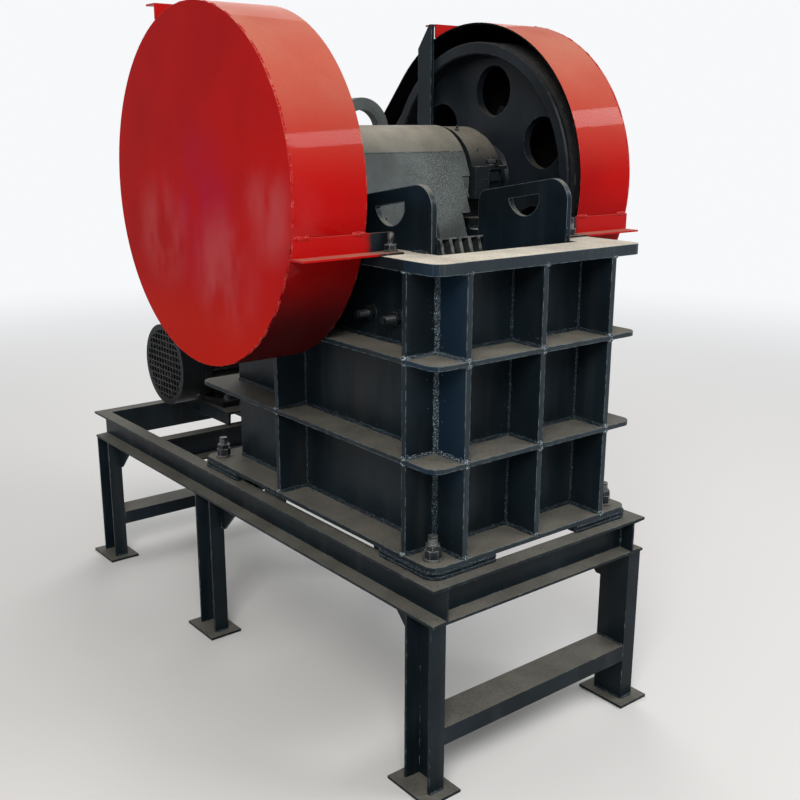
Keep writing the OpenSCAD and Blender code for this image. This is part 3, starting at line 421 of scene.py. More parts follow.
weld_paint = weld_finish("weld_paint", SLATE, SLATE_FADED, WELD_GLINT, 0.02, corners=True)
# painted highlight: a paler paint and bright painted glints on the bead ends
bead_end_highlight_paint = weld_finish("bead_end_highlight_paint", SLATE_FADED, SLATE_RIM, END_GLINT, 0.1)

# %% [markdown]
# The guards are rolled and flat sheet in a deep glossy red. The photograph shows dull crimson and pale
# reflections low on the near disc, painted into the colour here as painted reflections, a more orange tone
# at its foot, a dark underside, painted here as painted shade, and a dry tan dust along the top of the band.
# The inside faces of each drum get a near-black painted shade. The painted reflections are soft masks round
# four places on the disc. The gloss is the shader's coat, over an orange-peel surface a few millimetres
# wide, as a spray gun leaves it.

# %% Guard finish
GUARD_RED = (0.4, 0.0035, 0.003)
GUARD_DEEP = (0.32, 0.0026, 0.0028)
GUARD_CRIMSON_REFLECTION = (0.35, 0.003, 0.026)
GUARD_PALE_REFLECTION = (0.4, 0.043, 0.046)
GUARD_ORANGE = (0.43, 0.0105, 0.003)
GUARD_DRY = (0.56, 0.2, 0.13)
GUARD_SHADY = (0.046, 0.0048, 0.0056)
GUARD_EDGE = (0.6, 0.16, 0.12)
GUARD_INSIDE_SHADE = (0.006, 0.0055, 0.006)
GUARD_GLINT = (0.7, 0.27, 0.22)
SHAFT = Vector((0.262, 0, 1.472))
DISC_Y = -0.579
ORANGE_FROM, ORANGE_FULL = 1.3, 1.08
DISC_REFLECTIONS = (
    (0.281, 1.425, 0.26, GUARD_CRIMSON_REFLECTION),
    (0.07, 1.35, 0.19, GUARD_PALE_REFLECTION),
    (0.4, 1.28, 0.21, GUARD_PALE_REFLECTION),
    (0.62, 1.43, 0.15, GUARD_PALE_REFLECTION),
)

coat = Coat("guard_paint", GUARD_RED, GUARD_DEEP, (0.2, 0.3), 2.6)
# painted shade: a darker red on every face that looks down
coat.layer(coat.ramp(coat.times(coat.facing("Z"), -1.0), 0.05, 0.75), GUARD_SHADY, 0.4)
outside = coat.ramp(coat.times(coat.facing("Y"), -1.0), 0.8, 0.95)
foot = coat.ramp(coat.along(-Z), -ORANGE_FROM, -ORANGE_FULL)
coat.layer(coat.times(foot, outside, 0.8), GUARD_ORANGE, 0.26)
# painted reflections: crimson and pale patches round four places on the near disc
reflection_streaks = coat.ramp(coat.clouds(11, 2, (1, 1, 0.5)), 0.25, 0.7)
for x, z, radius, tone in DISC_REFLECTIONS:
    coat.layer(coat.times(coat.near((x, DISC_Y, z), radius), reflection_streaks), tone, 0.36)
coat.dust(GUARD_DRY, 0.85, 0.0, 0.93)
coat.wear(GUARD_EDGE, 0.5)
# painted shade: near-black on the inside faces of each drum, which look towards the shaft
coat.layer(coat.inner_side(SHAFT), GUARD_INSIDE_SHADE, 0.6)
coat.bump(300, 0.0007, 2)
coat.bump(6, 0.0012, 0)
guard_paint = coat.done(Specular_IOR_Level=0.0, Coat_Weight=0.11, Coat_Roughness=0.06)
# painted glints on the guard tacks
guard_weld_paint = weld_finish("guard_weld_paint", GUARD_RED, GUARD_DEEP, GUARD_GLINT, 0.03)

# %% [markdown]
# Each angle bracket is red where it was sprayed with its guard and dark where it reaches in over the
# frame, with the red fading out over a few centimetres, as the edge of a spray pattern does.

# %% Bracket finish
RED_ENDS = 0.362
RED_STARTS = 0.388
BRACKET_DUST = (0.4, 0.2, 0.14)

coat = Coat("bracket_paint", SLATE, SLATE_FADED, (0.24, 0.36))
outward = coat.math("ADD", coat.aside(), coat.times(coat.clouds(60, 4), 0.02))
coat.layer(coat.ramp(outward, RED_ENDS, RED_STARTS), GUARD_RED, 0.26)
coat.dust(BRACKET_DUST, 0.75)
coat.wear(GUARD_EDGE, 0.3)
coat.bump(240, 0.0003, 3)
bracket_paint = coat.done(Specular_IOR_Level=DULL_SHINE)

# %% [markdown]
# The pitman, its bearings and the jaw plates are castings. Sand leaves a rough skin that paint doesn't
# hide, so these finishes have a deeper and coarser bump than the plates.

# %% Casting finishes
CAST_GREY = (0.07, 0.084, 0.08)
CAST_DARK = (0.042, 0.051, 0.049)
CAST_DUST = (0.24, 0.215, 0.17)
CAST_WORN = (0.3, 0.3, 0.28)
CAST_SHINE = 0.3
BEARING_GREY = (0.013, 0.0175, 0.02)
BEARING_DARK = (0.0075, 0.011, 0.013)


def cast_finish(name, paint, faded, cover, depth):
    coat = Coat(name, paint, faded, (0.42, 0.62), 9)
    coat.dust(CAST_DUST, cover, 0.25)
    coat.wear(CAST_WORN, 0.4)
    coat.bump(150, depth, 5)
    coat.bump(18, 0.003, 3)
    return coat.done(Specular_IOR_Level=CAST_SHINE)


cast_paint = cast_finish("casting_paint", CAST_GREY, CAST_DARK, 0.75, 0.0011)
bearing_paint = cast_finish("bearing_paint", BEARING_GREY, BEARING_DARK, 1.0, 0.0008)

# %% [markdown]
# The pitman's barrel is dusty above its parting line and grey-green below it, with a patch of painted
# glints below the line, standing in for highlights on its rough skin. It is one casting, so one finish
# carries both tones: the height of a point decides between them, and a little noise keeps the border from
# looking ruled.

# %% Barrel finish
PARTING_Z = 1.559
BARREL_DUST = (0.3, 0.265, 0.205)
BARREL_END_FROM, BARREL_END_FULL = 0.23, 0.24
BARREL_GLINT_GREY = (0.23, 0.255, 0.25)
BARREL_GLINT_PLACE = (0.42, 0.12, 1.47)
BARREL_GLINT_REACH = 0.2

coat = Coat("barrel_paint", CAST_GREY, CAST_DARK, (0.42, 0.6), 9)
level = coat.along(Z)
wavering = coat.math("ADD", level, coat.times(coat.clouds(30, 3), 0.01))
above = coat.ramp(wavering, PARTING_Z + 0.003, PARTING_Z + 0.008)
patchy = coat.mixed(coat.ramp(coat.clouds(20, 6), 0.3, 0.7), 0.7, 1.0)
upward = coat.mixed(coat.ramp(coat.facing("Z"), 0.5, 0.98), 0.4, 0.95)
coat.layer(coat.times(above, patchy, upward), BARREL_DUST, 0.7)
from_line = coat.math("ABSOLUTE", coat.math("SUBTRACT", level, PARTING_Z))
coat.layer(coat.inverse(coat.ramp(from_line, 0.0008, 0.0022)), BEARING_GREY, 0.5)
# painted glints: pale specks round one place below the parting line
glint_specks = coat.ramp(coat.clouds(420, 1), 0.5, 0.72)
barrel_glints = coat.times(coat.near(BARREL_GLINT_PLACE, BARREL_GLINT_REACH), glint_specks, coat.inverse(above))
coat.layer(barrel_glints, BARREL_GLINT_GREY, 0.25)
coat.layer(coat.ramp(coat.aside(), BARREL_END_FROM, BARREL_END_FULL), BEARING_GREY, 0.5)
coat.wear(CAST_WORN, 0.4)
coat.bump(190, 0.0022, 4)
coat.bump(18, 0.003, 3)
barrel_paint = coat.done(Specular_IOR_Level=CAST_SHINE)

# %% [markdown]
# The jaw plates are bright along the crests of their ridges and black in the valleys, where the black is
# painted shade. How far a point stands out from the plate decides both, as it does for the crests when
# stone rubs past, so each finish first measures how far out the crests of its own plate lie.

# %% Jaw finishes
JAW_SLOPE = math.radians(20)
JAW_NORMAL = X * math.cos(JAW_SLOPE) + Z * math.sin(JAW_SLOPE)
CREST_BAND = 0.006
CREST_GREY = (0.032, 0.036, 0.036)
STEEL_LIGHT = (0.17, 0.18, 0.175)
DARK_STEEL_AND_VALLEY_SHADE = (0.006, 0.007, 0.008)


def jaw_finish(name, node, direction):
    crest = max(corner.co.dot(direction) for corner in frame["nodes"][node].data.vertices)
    coat = Coat(name, DARK_STEEL_AND_VALLEY_SHADE, CREST_GREY, (0.4, 0.6), 12)
    depth = coat.along(direction)
    # painted shade: the valleys between the ridges go near-black
    coat.layer(coat.inverse(coat.ramp(depth, crest - 0.02, crest - 0.008)), DARK_STEEL_AND_VALLEY_SHADE, 0.7)
    rubbed = coat.times(coat.ramp(depth, crest - CREST_BAND, crest - 0.001), coat.clouds(28, 2))
    coat.layer(coat.ramp(rubbed, 0.34, 0.6), STEEL_LIGHT, 0.42)
    coat.wear(CAST_WORN, 0.35, 0.004)
    coat.bump(170, 0.0009, 5)
    return coat.done(Specular_IOR_Level=CAST_SHINE)


swing_jaw_steel = jaw_finish("swing_jaw_steel", "swing_jaw_plate", JAW_NORMAL)
fixed_jaw_steel = jaw_finish("fixed_jaw_steel", "fixed_jaw_plate", -X)

# %% [markdown]
# The rest is small: black enamel on the flywheels and the motor, dull steel with paint on the bolts, bare
# turned steel on the shaft and rubber on the belts. Each still has its own tone, gloss and surface.

# %% Small finishes
WHEEL_BLACK, WHEEL_FADED = (0.008, 0.0105, 0.0135), (0.014, 0.018, 0.023)
MOTOR_BLACK, MOTOR_FADED = (0.006, 0.007, 0.0085), (0.012, 0.013, 0.015)
BLACK_DUST, BLACK_WORN = (0.12, 0.105, 0.085), (0.13, 0.145, 0.16)
BOLT_STEEL, BOLT_WORN = (0.13, 0.135, 0.14), (0.42, 0.42, 0.41)
PAINTED_STEEL, PAINTED_WORN = (0.03, 0.034, 0.038), (0.09, 0.1, 0.11)
TURNED_STEEL = (0.3, 0.3, 0.29)
RUBBER, RUBBER_GREY, RUBBER_DUST = (0.011, 0.011, 0.011), (0.022, 0.021, 0.02), (0.1, 0.09, 0.075)


def black_finish(name, paint, faded, gloss, cover, depth):
    coat = Coat(name, paint, faded, gloss, 8)
    coat.dust(BLACK_DUST, cover)
    coat.wear(BLACK_WORN, 0.45)
    coat.bump(200, depth, 4)
    return coat.done(Specular_IOR_Level=DULL_SHINE)


def steel_finish(name, steel, worn, paint, painted_share):
    coat = Coat(name, steel, steel, (0.28, 0.42), 20)
    left = 0.5 * painted_share
    coat.layer(coat.ramp(coat.clouds(35, 5), 0.66 - left, 0.8 - left), paint, 0.42)
    coat.dust(DUST_BROWN, 0.4)
    coat.wear(worn, 0.7, 0.002)
    coat.bump(320, 0.0002, 3)
    return coat.done(0.0008, Metallic=0.35)


flywheel_paint = black_finish("flywheel_paint", WHEEL_BLACK, WHEEL_FADED, (0.3, 0.45), 0.5, 0.0005)
motor_paint = black_finish("motor_paint", MOTOR_BLACK, MOTOR_FADED, (0.32, 0.5), 0.6, 0.0004)
bolt_steel = steel_finish("bolt_steel", BOLT_STEEL, BOLT_WORN, SLATE, 0.8)
painted_bolt = steel_finish("painted_bolt", PAINTED_STEEL, PAINTED_WORN, SLATE, 1.0)
bare_steel = steel_finish("turned_steel", TURNED_STEEL, BOLT_WORN, CAST_DARK, 0.3)
coat = Coat("belt_rubber", RUBBER, RUBBER_GREY, (0.6, 0.8), 30)
coat.dust(RUBBER_DUST, 0.5)
coat.bump(500, 0.00025, 3)
belt_rubber = coat.done(0.0005)

# %% [markdown]
# Every node of the packed model now takes its finish. The record's slots decide for most of them, and a
# few nodes differ within their slot: the ribs and flanges have flame-cut edges, the top flange carries
# pale dust, and the pitman's barrel has its own parting line.

# %% Finishes on the packed model
SLOT_FINISH = dict(
    frame_paint=wall_paint, stand_paint=stand_paint, casting_paint=cast_paint, guard_paint=guard_paint,
    flywheel_paint=flywheel_paint, motor_paint=motor_paint, jaw_steel=fixed_jaw_steel,
    bolt_steel=bolt_steel, belt_rubber=belt_rubber,
)
NODE_FINISH = dict(
    base_flange=rib_paint, lower_rib=rib_paint, upper_rib=upper_rib_paint, top_flange=flange_paint,
    cheek_plate_near=cheek_paint, cheek_plate_far=cheek_paint, cheek_bolts=painted_bolt,
    pitman=barrel_paint, bearing_housings=bearing_paint, bearing_caps=bearing_paint,
    swing_jaw_plate=swing_jaw_steel, eccentric_shaft=bare_steel, guard_brackets=bracket_paint,
)
for row in frame["record"]["subparts"]:
    materials = frame["nodes"][row["node"]].data.materials
    materials.clear()
    materials.append(NODE_FINISH.get(row["node"], SLOT_FINISH[row["material_slot"]]))

# %% [markdown]
# Welds, nuts and other small things are built from one kind of form: rings of points joined into a closed
# skin. A weld is such a skin along a seam, and a nut or a stud is one round an axis. Blender could make
# each as its own object, but hundreds of objects are slow to handle, so many of them share one mesh.

# %% A mesh made of rings
BEAD_SHARP = 60
TURNED_SHARP = 35


def at(x, y, z):
    return Vector((x, y, z))


def radial(angle):
    """The direction at an angle round the shaft, from +X towards +Z."""
    return X * math.cos(angle) + Z * math.sin(angle)


def spokes(across, over, sides, angle=0.0):
    """Directions evenly round an axis, from two directions at right angles to it."""
    turns = [angle + math.tau * side / sides for side in range(sides)]
    return [across * math.cos(turn) + over * math.sin(turn) for turn in turns]


class Skins:
    """Closed skins that share one mesh."""

    def __init__(self):
        self.points = []
        self.faces = []

    def loft(self, rings, looped=False):
        """Joins rings of equally many points, and closes both ends or joins the last ring to the first."""
        start, sides = len(self.points), len(rings[0])
        self.points.extend(chain(*rings))
        for row in range(len(rings) - (not looped)):
            lower = start + row * sides
            upper = start + (row + 1) % len(rings) * sides
            for side in range(sides):
                after = (side + 1) % sides
                self.faces.append((lower + side, lower + after, upper + after, upper + side))
        if not looped:
            end = len(self.points)
            self.faces.append(tuple(range(start + sides - 1, start - 1, -1)))
            self.faces.append(tuple(range(end - sides, end)))

    def turned(self, place, axis, profile, sides=20, angle=0.0):
        """A form turned round an axis; the profile lists a radius and a height for each ring."""
        across = axis.orthogonal().normalized()
        arms = spokes(across, axis.cross(across), sides, angle)
        self.loft([[place + axis * height + arm * radius for arm in arms] for radius, height in profile])

    def place(self, name, finish, slot="frame_paint", body="frame", sharp=BEAD_SHARP):
        """Makes the mesh, turns its faces outwards and lets it ride on a body."""
        mesh = bpy.data.meshes.new(name)
        mesh.from_pydata(self.points, [], self.faces)
        work = bmesh.new()
        work.from_mesh(mesh)
        bmesh.ops.recalc_face_normals(work, faces=work.faces)
        work.to_mesh(mesh)
        work.free()
        mesh.polygons.foreach_set("use_smooth", [True] * len(mesh.polygons))
        mesh.set_sharp_from_angle(angle=math.radians(sharp))
        mesh.materials.append(finish)
        piece = bpy.data.objects.new(name, mesh)
        scene.collection.objects.link(piece)
        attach(piece, body)
        print(name, len(mesh.polygons), "faces")


print("skins are made by:", [name for name in vars(Skins) if name[0] != "_"])

# %% [markdown]
# A fillet weld fills the corner between two plates with a rippled bead, a little uneven, because it was
# laid by hand. The photograph shows these beads in every corner of the frame, with bright glints on their
# ripples. A bump texture would vanish at the silhouette and give no glints, so each bead is real geometry:
# a skin whose size rises and falls every few millimetres, sunk slightly into both plates.

# %% A weld bead
BEAD_STEP = 0.003
BEAD_SIDES = 4
BEAD_SINK = 0.0005
BEAD_FULLNESS = 1.45
RIPPLE = 0.09
WANDER = 0.34
WANDER_SCALE = 55.0
BEAD_START, BEAD_GROWTH = 0.4, 0.3


def bead_size(leg, centre, index, count):
    """The size of a bead at one of its ripples: uneven, and smaller at both ends."""
    swell = 1 + RIPPLE * (-1) ** index + WANDER * noise.noise(centre * WANDER_SCALE)
    return leg * swell * min(1.0, BEAD_START + BEAD_GROWTH * min(index, count - index))


def bead(skins, start, end, side_a, side_b, leg):
    """One fillet weld from start to end; side_a and side_b point away from the corner along the plates."""
    count = max(4, round((end - start).length / BEAD_STEP))
    rings = []
    for index in range(count + 1):
        centre = start + (end - start) * (index / count)
        size = bead_size(leg, centre, index, count)
        ring = [centre - (side_a + side_b) * BEAD_SINK]
        for step in range(BEAD_SIDES + 1):
            angle = math.pi / 2 * step / BEAD_SIDES
            out_a = size * max(0.0, math.cos(angle)) ** BEAD_FULLNESS - BEAD_SINK
            out_b = size * math.sin(angle) ** BEAD_FULLNESS - BEAD_SINK
            ring.append(centre + side_a * out_a + side_b * out_b)
        rings.append(ring)
    skins.loft(rings)


print("a ripple every", BEAD_STEP, "m, and sizes up to", round(1 + RIPPLE + WANDER, 2), "times the leg")

# %% [markdown]
# Molten drops fly off while a seam is welded and freeze on the plates beside it. Most of them land within
# two or three centimetres of the bead. Each drop is a low dome, and the random numbers start from a fixed
# seed, so the same drops come back every time.

# %% Spatter
DROPS_PER_METRE = 46
DROP_SIZES = (0.0008, 0.002)
DROP_PROFILE = ((0.85, 0.45), (0.35, 0.8))
DROP_SINK = 0.0003
DROP_REACH = 0.034
DROP_SIDES = 5


def spatter(skins, start, end, side_a, side_b, leg):
    """Frozen drops on both plates beside a seam, more of them close to it."""
    run = end - start
    for side, normal in ((side_a, side_b), (side_b, side_a)):
        for _ in range(round(run.length * DROPS_PER_METRE)):
            reach = leg + (DROP_REACH - leg) * random.random() ** 2
            place = start + run * random.random() + side * reach
            size = random.uniform(*DROP_SIZES)
            dome = [(size * radius, size * height) for radius, height in DROP_PROFILE]
            skins.turned(place, normal, [(size, -DROP_SINK), *dome], DROP_SIDES, random.uniform(0, math.pi))


print("drops on each metre of a plate's seam:", DROPS_PER_METRE)

# %% [markdown]
# The frame is a grid of cells: each is a box of free space with a wall at its back, ribs above and below
# and uprights at its sides. Beads run wherever two solid faces of such a box meet. One function takes the
# box and the names of its solid faces, and lays all the beads of that cell.

# %% Beads round a cell
FLAT_LEG = 0.0085
UPRIGHT_LEG = 0.0055
CORNER_LEG = 0.0105


def cell_beads(skins, low, high, solid, upright_leg):
    """Beads inside a box, along the edges where two of its solid faces meet; faces are named like -x."""
    for faces in combinations(solid, 2):
        axes = ["xyz".index(face[1]) for face in faces]
        if axes[0] == axes[1]:
            continue
        along = 3 - sum(axes)
        start = Vector(low)
        sides = []
        for face, axis in zip(faces, axes):
            start[axis] = high[axis] if face[0] == "+" else low[axis]
            sides.append((X, Y, Z)[axis] * (-1 if face[0] == "+" else 1))
        end = start.copy()
        end[along] = high[along]
        leg = upright_leg if along == 2 else FLAT_LEG
        bead(skins, start, end, *sides, leg)
        if "+z" not in faces:
            spatter(skins, start, end, *sides, leg)


def box(name):
    """The lowest and highest corners of a node, as vectors."""
    return [Vector(corner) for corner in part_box(name)]


def solids(name):
    """The lowest and highest corners of each separate solid in a node of the packed model."""
    work = bmesh.new()
    work.from_mesh(frame["nodes"][name].data)
    bmesh.ops.remove_doubles(work, verts=work.verts, dist=1e-5)
    left = set(work.verts)
    boxes = []
    while left:
        reached = [left.pop()]
        found = []
        while reached:
            found.append(reached.pop())
            near = {vertex for edge in found[-1].link_edges for vertex in edge.verts} & left
            left -= near
            reached.extend(near)
        places = list(zip(*[vertex.co for vertex in found]))
        boxes.append([Vector([choose(row) for row in places]) for choose in (min, max)])
    work.free()
    return sorted(boxes, key=lambda pair: tuple(pair[0]))


print("separate packing pads:", len(solids("corner_pads")))

# %% Beads on the frame
plates = [box(name) for name in ("base_flange", "lower_rib", "upper_rib", "top_flange")]
bays = [(below[1].z, above[0].z) for below, above in zip(plates, plates[1:])]
wall_low, wall_high = box("side_wall_far")
front_face = box("front_wall")[1].x
rib_spans = sorted({(round(low.x, 4), round(high.x, 4)) for low, high in solids("side_upright_ribs_near")})
rib_tip = box("side_upright_ribs_far")[1].y
middle_rib = box("front_upright_ribs")


def grid_beads(name, cells):
    """The beads of cells in all three bays; a cell has two corners in plan, solid faces and a leg."""
    skins = Skins()
    for (bottom, top), (low, high, solid, leg) in product(bays, cells):
        cell_beads(skins, (*low, bottom), (*high, top), solid, leg)
    skins.place(name, weld_paint)


for name, side, back in (("side_beads_near", -1, "+y"), ("side_beads_far", 1, "-y")):
    near, far = sorted((side * wall_high.y, side * rib_tip))
    (rear_from, rear_to), (front_from, front_to) = rib_spans
    grid_beads(name, [
        ((wall_low.x, near), (rear_from, far), (back, "-z", "+z", "+x"), UPRIGHT_LEG),
        ((rear_to, near), (front_from, far), (back, "-z", "+z", "-x", "+x"), UPRIGHT_LEG),
        ((front_to, near), (wall_high.x, far), (back, "-z", "+z", "-x"), CORNER_LEG),
    ])
front_solid = ("-x", "-z", "+z", "-y", "+y")
grid_beads("front_beads", [
    ((front_face, -wall_low.y), (middle_rib[1].x, middle_rib[0].y), front_solid, UPRIGHT_LEG),
    ((front_face, middle_rib[1].y), (middle_rib[1].x, wall_low.y), front_solid, UPRIGHT_LEG),
])
rear_corners = (plates[0][0].x, -wall_high.y), (wall_low.x, wall_high.y)
grid_beads("rear_beads", [(*rear_corners, ("+x", "-z", "+z"), UPRIGHT_LEG)])

# %% [markdown]
# Four packing pads lie between the base flange and the stand. In the photograph their edges are swollen
# and rough like rope, where the welder ran a thick bead along each of them. The bead follows the pads'
# outline: straight along the sides and round the corners.

# %% Beads round the packing pads
ROPE_SIDES = 8
PAD_BEAD = 0.00527
PAD_BEAD_LEVEL = 0.004
CORNER_RADIUS = 0.035
CORNER_STEPS = 8
pad_low, pad_high = box("corner_pads")
pad_reach = solids("corner_pads")[0][1] - pad_low


def along_path(path, distance):
    """The point on a path at a distance from its start, and the direction there."""
    for start, end in zip(path, path[1:]):
        step = (end - start).length
        if distance <= step + 1e-9:
            return start.lerp(end, distance / step), (end - start).normalized()
        distance -= step
    return path[-1].copy(), (path[-1] - path[-2]).normalized()


def rope(skins, path, radius):
    """A rough rounded bead along a path that lies in one level or stands upright."""
    length = sum((end - start).length for start, end in zip(path, path[1:]))
    count = max(6, round(length / BEAD_STEP))
    rings = []
    for index in range(count + 1):
        centre, forward = along_path(path, length * index / count)
        out = forward.cross(X if abs(forward.z) > 0.9 else Z).normalized()
        size = bead_size(radius, centre, index, count)
        rings.append([centre + arm * size for arm in spokes(out, out.cross(forward), ROPE_SIDES)])
    skins.loft(rings)


pad_skins = Skins()
for side_x, side_y in product((-1, 1), (-1, 1)):
    corner = at(pad_high.x if side_x > 0 else pad_low.x, side_y * pad_high.y, 0)
    out_x, out_y = X * side_x, Y * side_y
    centre = corner - (out_x + out_y) * CORNER_RADIUS
    path = [corner - out_x * pad_reach.x]
    for step in range(CORNER_STEPS + 1):
        angle = math.pi / 2 * step / CORNER_STEPS
        path.append(centre + (out_x * math.sin(angle) + out_y * math.cos(angle)) * CORNER_RADIUS)
    path.append(corner - out_y * pad_reach.y)
    for level in (pad_low.z + PAD_BEAD_LEVEL, pad_high.z - PAD_BEAD_LEVEL):
        rope(pad_skins, [point + Z * level for point in path], PAD_BEAD)
pad_skins.place("pad_beads", weld_paint)

# %% [markdown]
# Where an upright rib ends under a flange, the welder carried the bead round the rib's front edge. In the
# photograph these ends are the brightest points of the frame, so their finish is a paler paint with bright
# painted glints: a painted highlight. Each is a short lump across the edge.

# %% Bead ends round the ribs
FRONT_END, SIDE_END = 0.0068, 0.00612
OVERHANG = 0.002
front_tip = middle_rib[1].x
front_ribs = [(-wall_high.y, -wall_low.y), (middle_rib[0].y, middle_rib[1].y), (wall_low.y, wall_high.y)]
levels = [plate[1].z for plate in plates[:3]] + [plate[0].z for plate in plates[1:]]
end_skins = Skins()
for level, (left, right) in product(levels, front_ribs):
    path = [at(front_tip, left - OVERHANG, level), at(front_tip, right + OVERHANG, level)]
    rope(end_skins, path, FRONT_END)
for level, side, (rear, front) in product(levels, (-1, 1), rib_spans):
    path = [at(rear - OVERHANG, side * rib_tip, level), at(front + OVERHANG, side * rib_tip, level)]
    rope(end_skins, path, SIDE_END)
end_skins.place("bead_ends", bead_end_highlight_paint)

# %% [markdown]
# Above the top flange the bearing housings and the cheek plates are welded down as well. The cheek plates
# only have short stitches, because they are wearing parts that are burnt off and changed.

# %% Beads on the top flange
LEVEL_TOP = plates[3][1].z
HOUSING_FOOT = ((0.122, -1), (0.402, 1))
HOUSING_LEG = 0.008
STITCH = 0.06
STITCH_LEG = 0.007
STITCH_PLACES = (0.0, 0.45, 0.9)
CHEEK_INSET = 0.012
CHEEK_LEG = 0.005
CHEEK_SEAM, CHEEK_SINK = 0.05, 0.001
cheek_low, cheek_high = box("cheek_plate_far")
top_skins = Skins()
for side in (-1, 1):
    inner, outer = side * wall_low.y, side * plates[3][1].y
    for edge_x, out in HOUSING_FOOT:
        start, end = at(edge_x, inner, LEVEL_TOP), at(edge_x, outer, LEVEL_TOP)
        bead(top_skins, start, end, X * out, Z, HOUSING_LEG)
    for share in STITCH_PLACES:
        start_x = cheek_high.x - CHEEK_INSET - share * (cheek_high.x - cheek_low.x - STITCH)
        start = at(start_x, inner, LEVEL_TOP)
        bead(top_skins, start, start - X * STITCH, Y * side, Z, STITCH_LEG)
    foot = at(cheek_high.x, side * (cheek_low.y + CHEEK_SINK), LEVEL_TOP - CHEEK_INSET)
    bead(top_skins, foot, foot + Z * CHEEK_SEAM, X, Y * -side, CHEEK_LEG)
top_skins.place("top_beads", weld_paint)

# %% [markdown]
# The stand is channel, cut square and welded: legs under the beams, foot plates under the legs, gussets in
# the corners, cross beams and ties between the webs.

# %% Beads on the stand
STAND_LEG = 0.005
WEB = 0.0053
WEB_MARGIN = 0.01
LEG_PLACES = (0.942, -0.154, -0.942)
FOOT_TOP = 0.008
HALF_DEPTH = 0.05
beam_low, beam_high = box("stand_beam_far")
stand_skins = Skins()
for middle_x, side in product(LEG_PLACES, (-1, 1)):
    for out, (level, up) in product((-1, 1), ((FOOT_TOP, Z), (beam_low.z, -Z))):
        start = at(middle_x + out * HALF_DEPTH, side * beam_low.y, level)
        end = at(start.x, side * beam_high.y, level)
        bead(stand_skins, start, end, X * out, up, STAND_LEG)
    start = at(middle_x - HALF_DEPTH, side * beam_low.y, FOOT_TOP)
    bead(stand_skins, start, start + X * 2 * HALF_DEPTH, Y * -side, Z, STAND_LEG)
for name in ("stand_beam_front", "stand_beam_rear", "stand_cross_beams"):
    way = -1 if name == "stand_beam_rear" else 1
    for (low, high), side in product(solids(name), (-1, 1)):
        web_x = low.x + WEB if way > 0 else high.x - WEB
        start = at(web_x, side * beam_low.y, low.z + WEB_MARGIN)
        end = at(web_x, side * beam_low.y, high.z - WEB_MARGIN)
        bead(stand_skins, start, end, X * way, Y * -side, STAND_LEG)
for (low, high), side in product(solids("stand_ties"), (-1, 1)):
    start = at(low.x, side * beam_low.y, high.z)
    bead(stand_skins, start, start + X * (high.x - low.x), Y * -side, Z, STAND_LEG)
stand_skins.place("stand_beads", weld_paint, "stand_paint")

# %% [markdown]
# The rim of each guard is a flat disc tacked to a rolled band. The photograph shows the joint as a thin
# ragged line with glints. Here it is one narrow skin that runs round the joint, whose height follows noise:
# it stands two millimetres proud where there is a tack and sinks into the sheet between two tacks.

# %% Tacks round the guards
GUARD_RADIUS = box("guard_disc_near")[1].z - SHAFT.z
BELT_GUARD_RADIUS = 0.185
MOTOR = at(-0.737, 0, 0.776)
TACK_STEP = 0.004
TACK_HEIGHT = 0.0022
TACK_WIDTH, TACK_SPREAD = 0.0035, 0.002
TACK_SCALE, RAGGED_SCALE, SPREAD_SCALE = 38, 170, 90
TACK_GAIN, TACK_SHIFT, TACK_LOWEST = 1.6, 0.15, -0.4
TACK_FOOT = [(-1, -0.001), (0, -0.0015), (1, -0.001)]
TACK_CROWN = ((0.6, 0.7), (0, 1), (-0.6, 0.7))
SEAM_Y = box("guard_disc_far")[0].y


def circle_path(centre, radius, start, end):
    """Points and outward directions on an arc in an upright plane; angles in radians."""
    count = max(2, round(abs(end - start) * radius / TACK_STEP))
    outward = [radial(start + (end - start) * index / count) for index in range(count + 1)]
    return [(centre + out * radius, out) for out in outward]


def straight_path(first, last):
    """The steps between two points that share an outward direction."""
    count = round((last[0] - first[0]).length / TACK_STEP)
    return [(first[0].lerp(last[0], index / count), first[1]) for index in range(1, count)]


def belt_guard_path():
    """The outline of the belt guard: two arcs and the straight runs between them."""
    apart = SHAFT - MOTOR
    lean = math.asin((GUARD_RADIUS - BELT_GUARD_RADIUS) / apart.length)
    back = math.atan2(apart.z, apart.x) + math.pi
    upper, lower = back - math.pi / 2 + lean, back + math.pi / 2 - lean
    large = circle_path(SHAFT, GUARD_RADIUS, lower, upper + math.tau)
    small = circle_path(MOTOR, BELT_GUARD_RADIUS, upper, lower)
    return large + straight_path(large[-1], small[0]) + small + straight_path(small[-1], large[0])


def tack_line(name, path, side):
    rings = []
    for place, out in path:
        centre = place + Y * side * SEAM_Y
        ragged = noise.noise(centre * TACK_SCALE) + 0.5 * noise.noise(centre * RAGGED_SCALE)
        height = TACK_HEIGHT * max(TACK_LOWEST, min(1.0, ragged * TACK_GAIN + TACK_SHIFT))
        across = Y * (TACK_WIDTH + TACK_SPREAD * noise.noise(centre * SPREAD_SCALE))
        crown = [(share, height * rise) for share, rise in TACK_CROWN]
        rings.append([centre + across * share + out * rise for share, rise in TACK_FOOT + crown])
    skins = Skins()
    skins.loft(rings, looped=True)
    skins.place(name, guard_weld_paint, "guard_paint")


tack_line("guard_tacks_near", circle_path(SHAFT, GUARD_RADIUS, 0, math.tau)[:-1], -1)
tack_line("guard_tacks_far", belt_guard_path(), 1)

# %% [markdown]
# Each guard rests on its bracket and is held by two short, heavy tacks on the bracket's top edge.

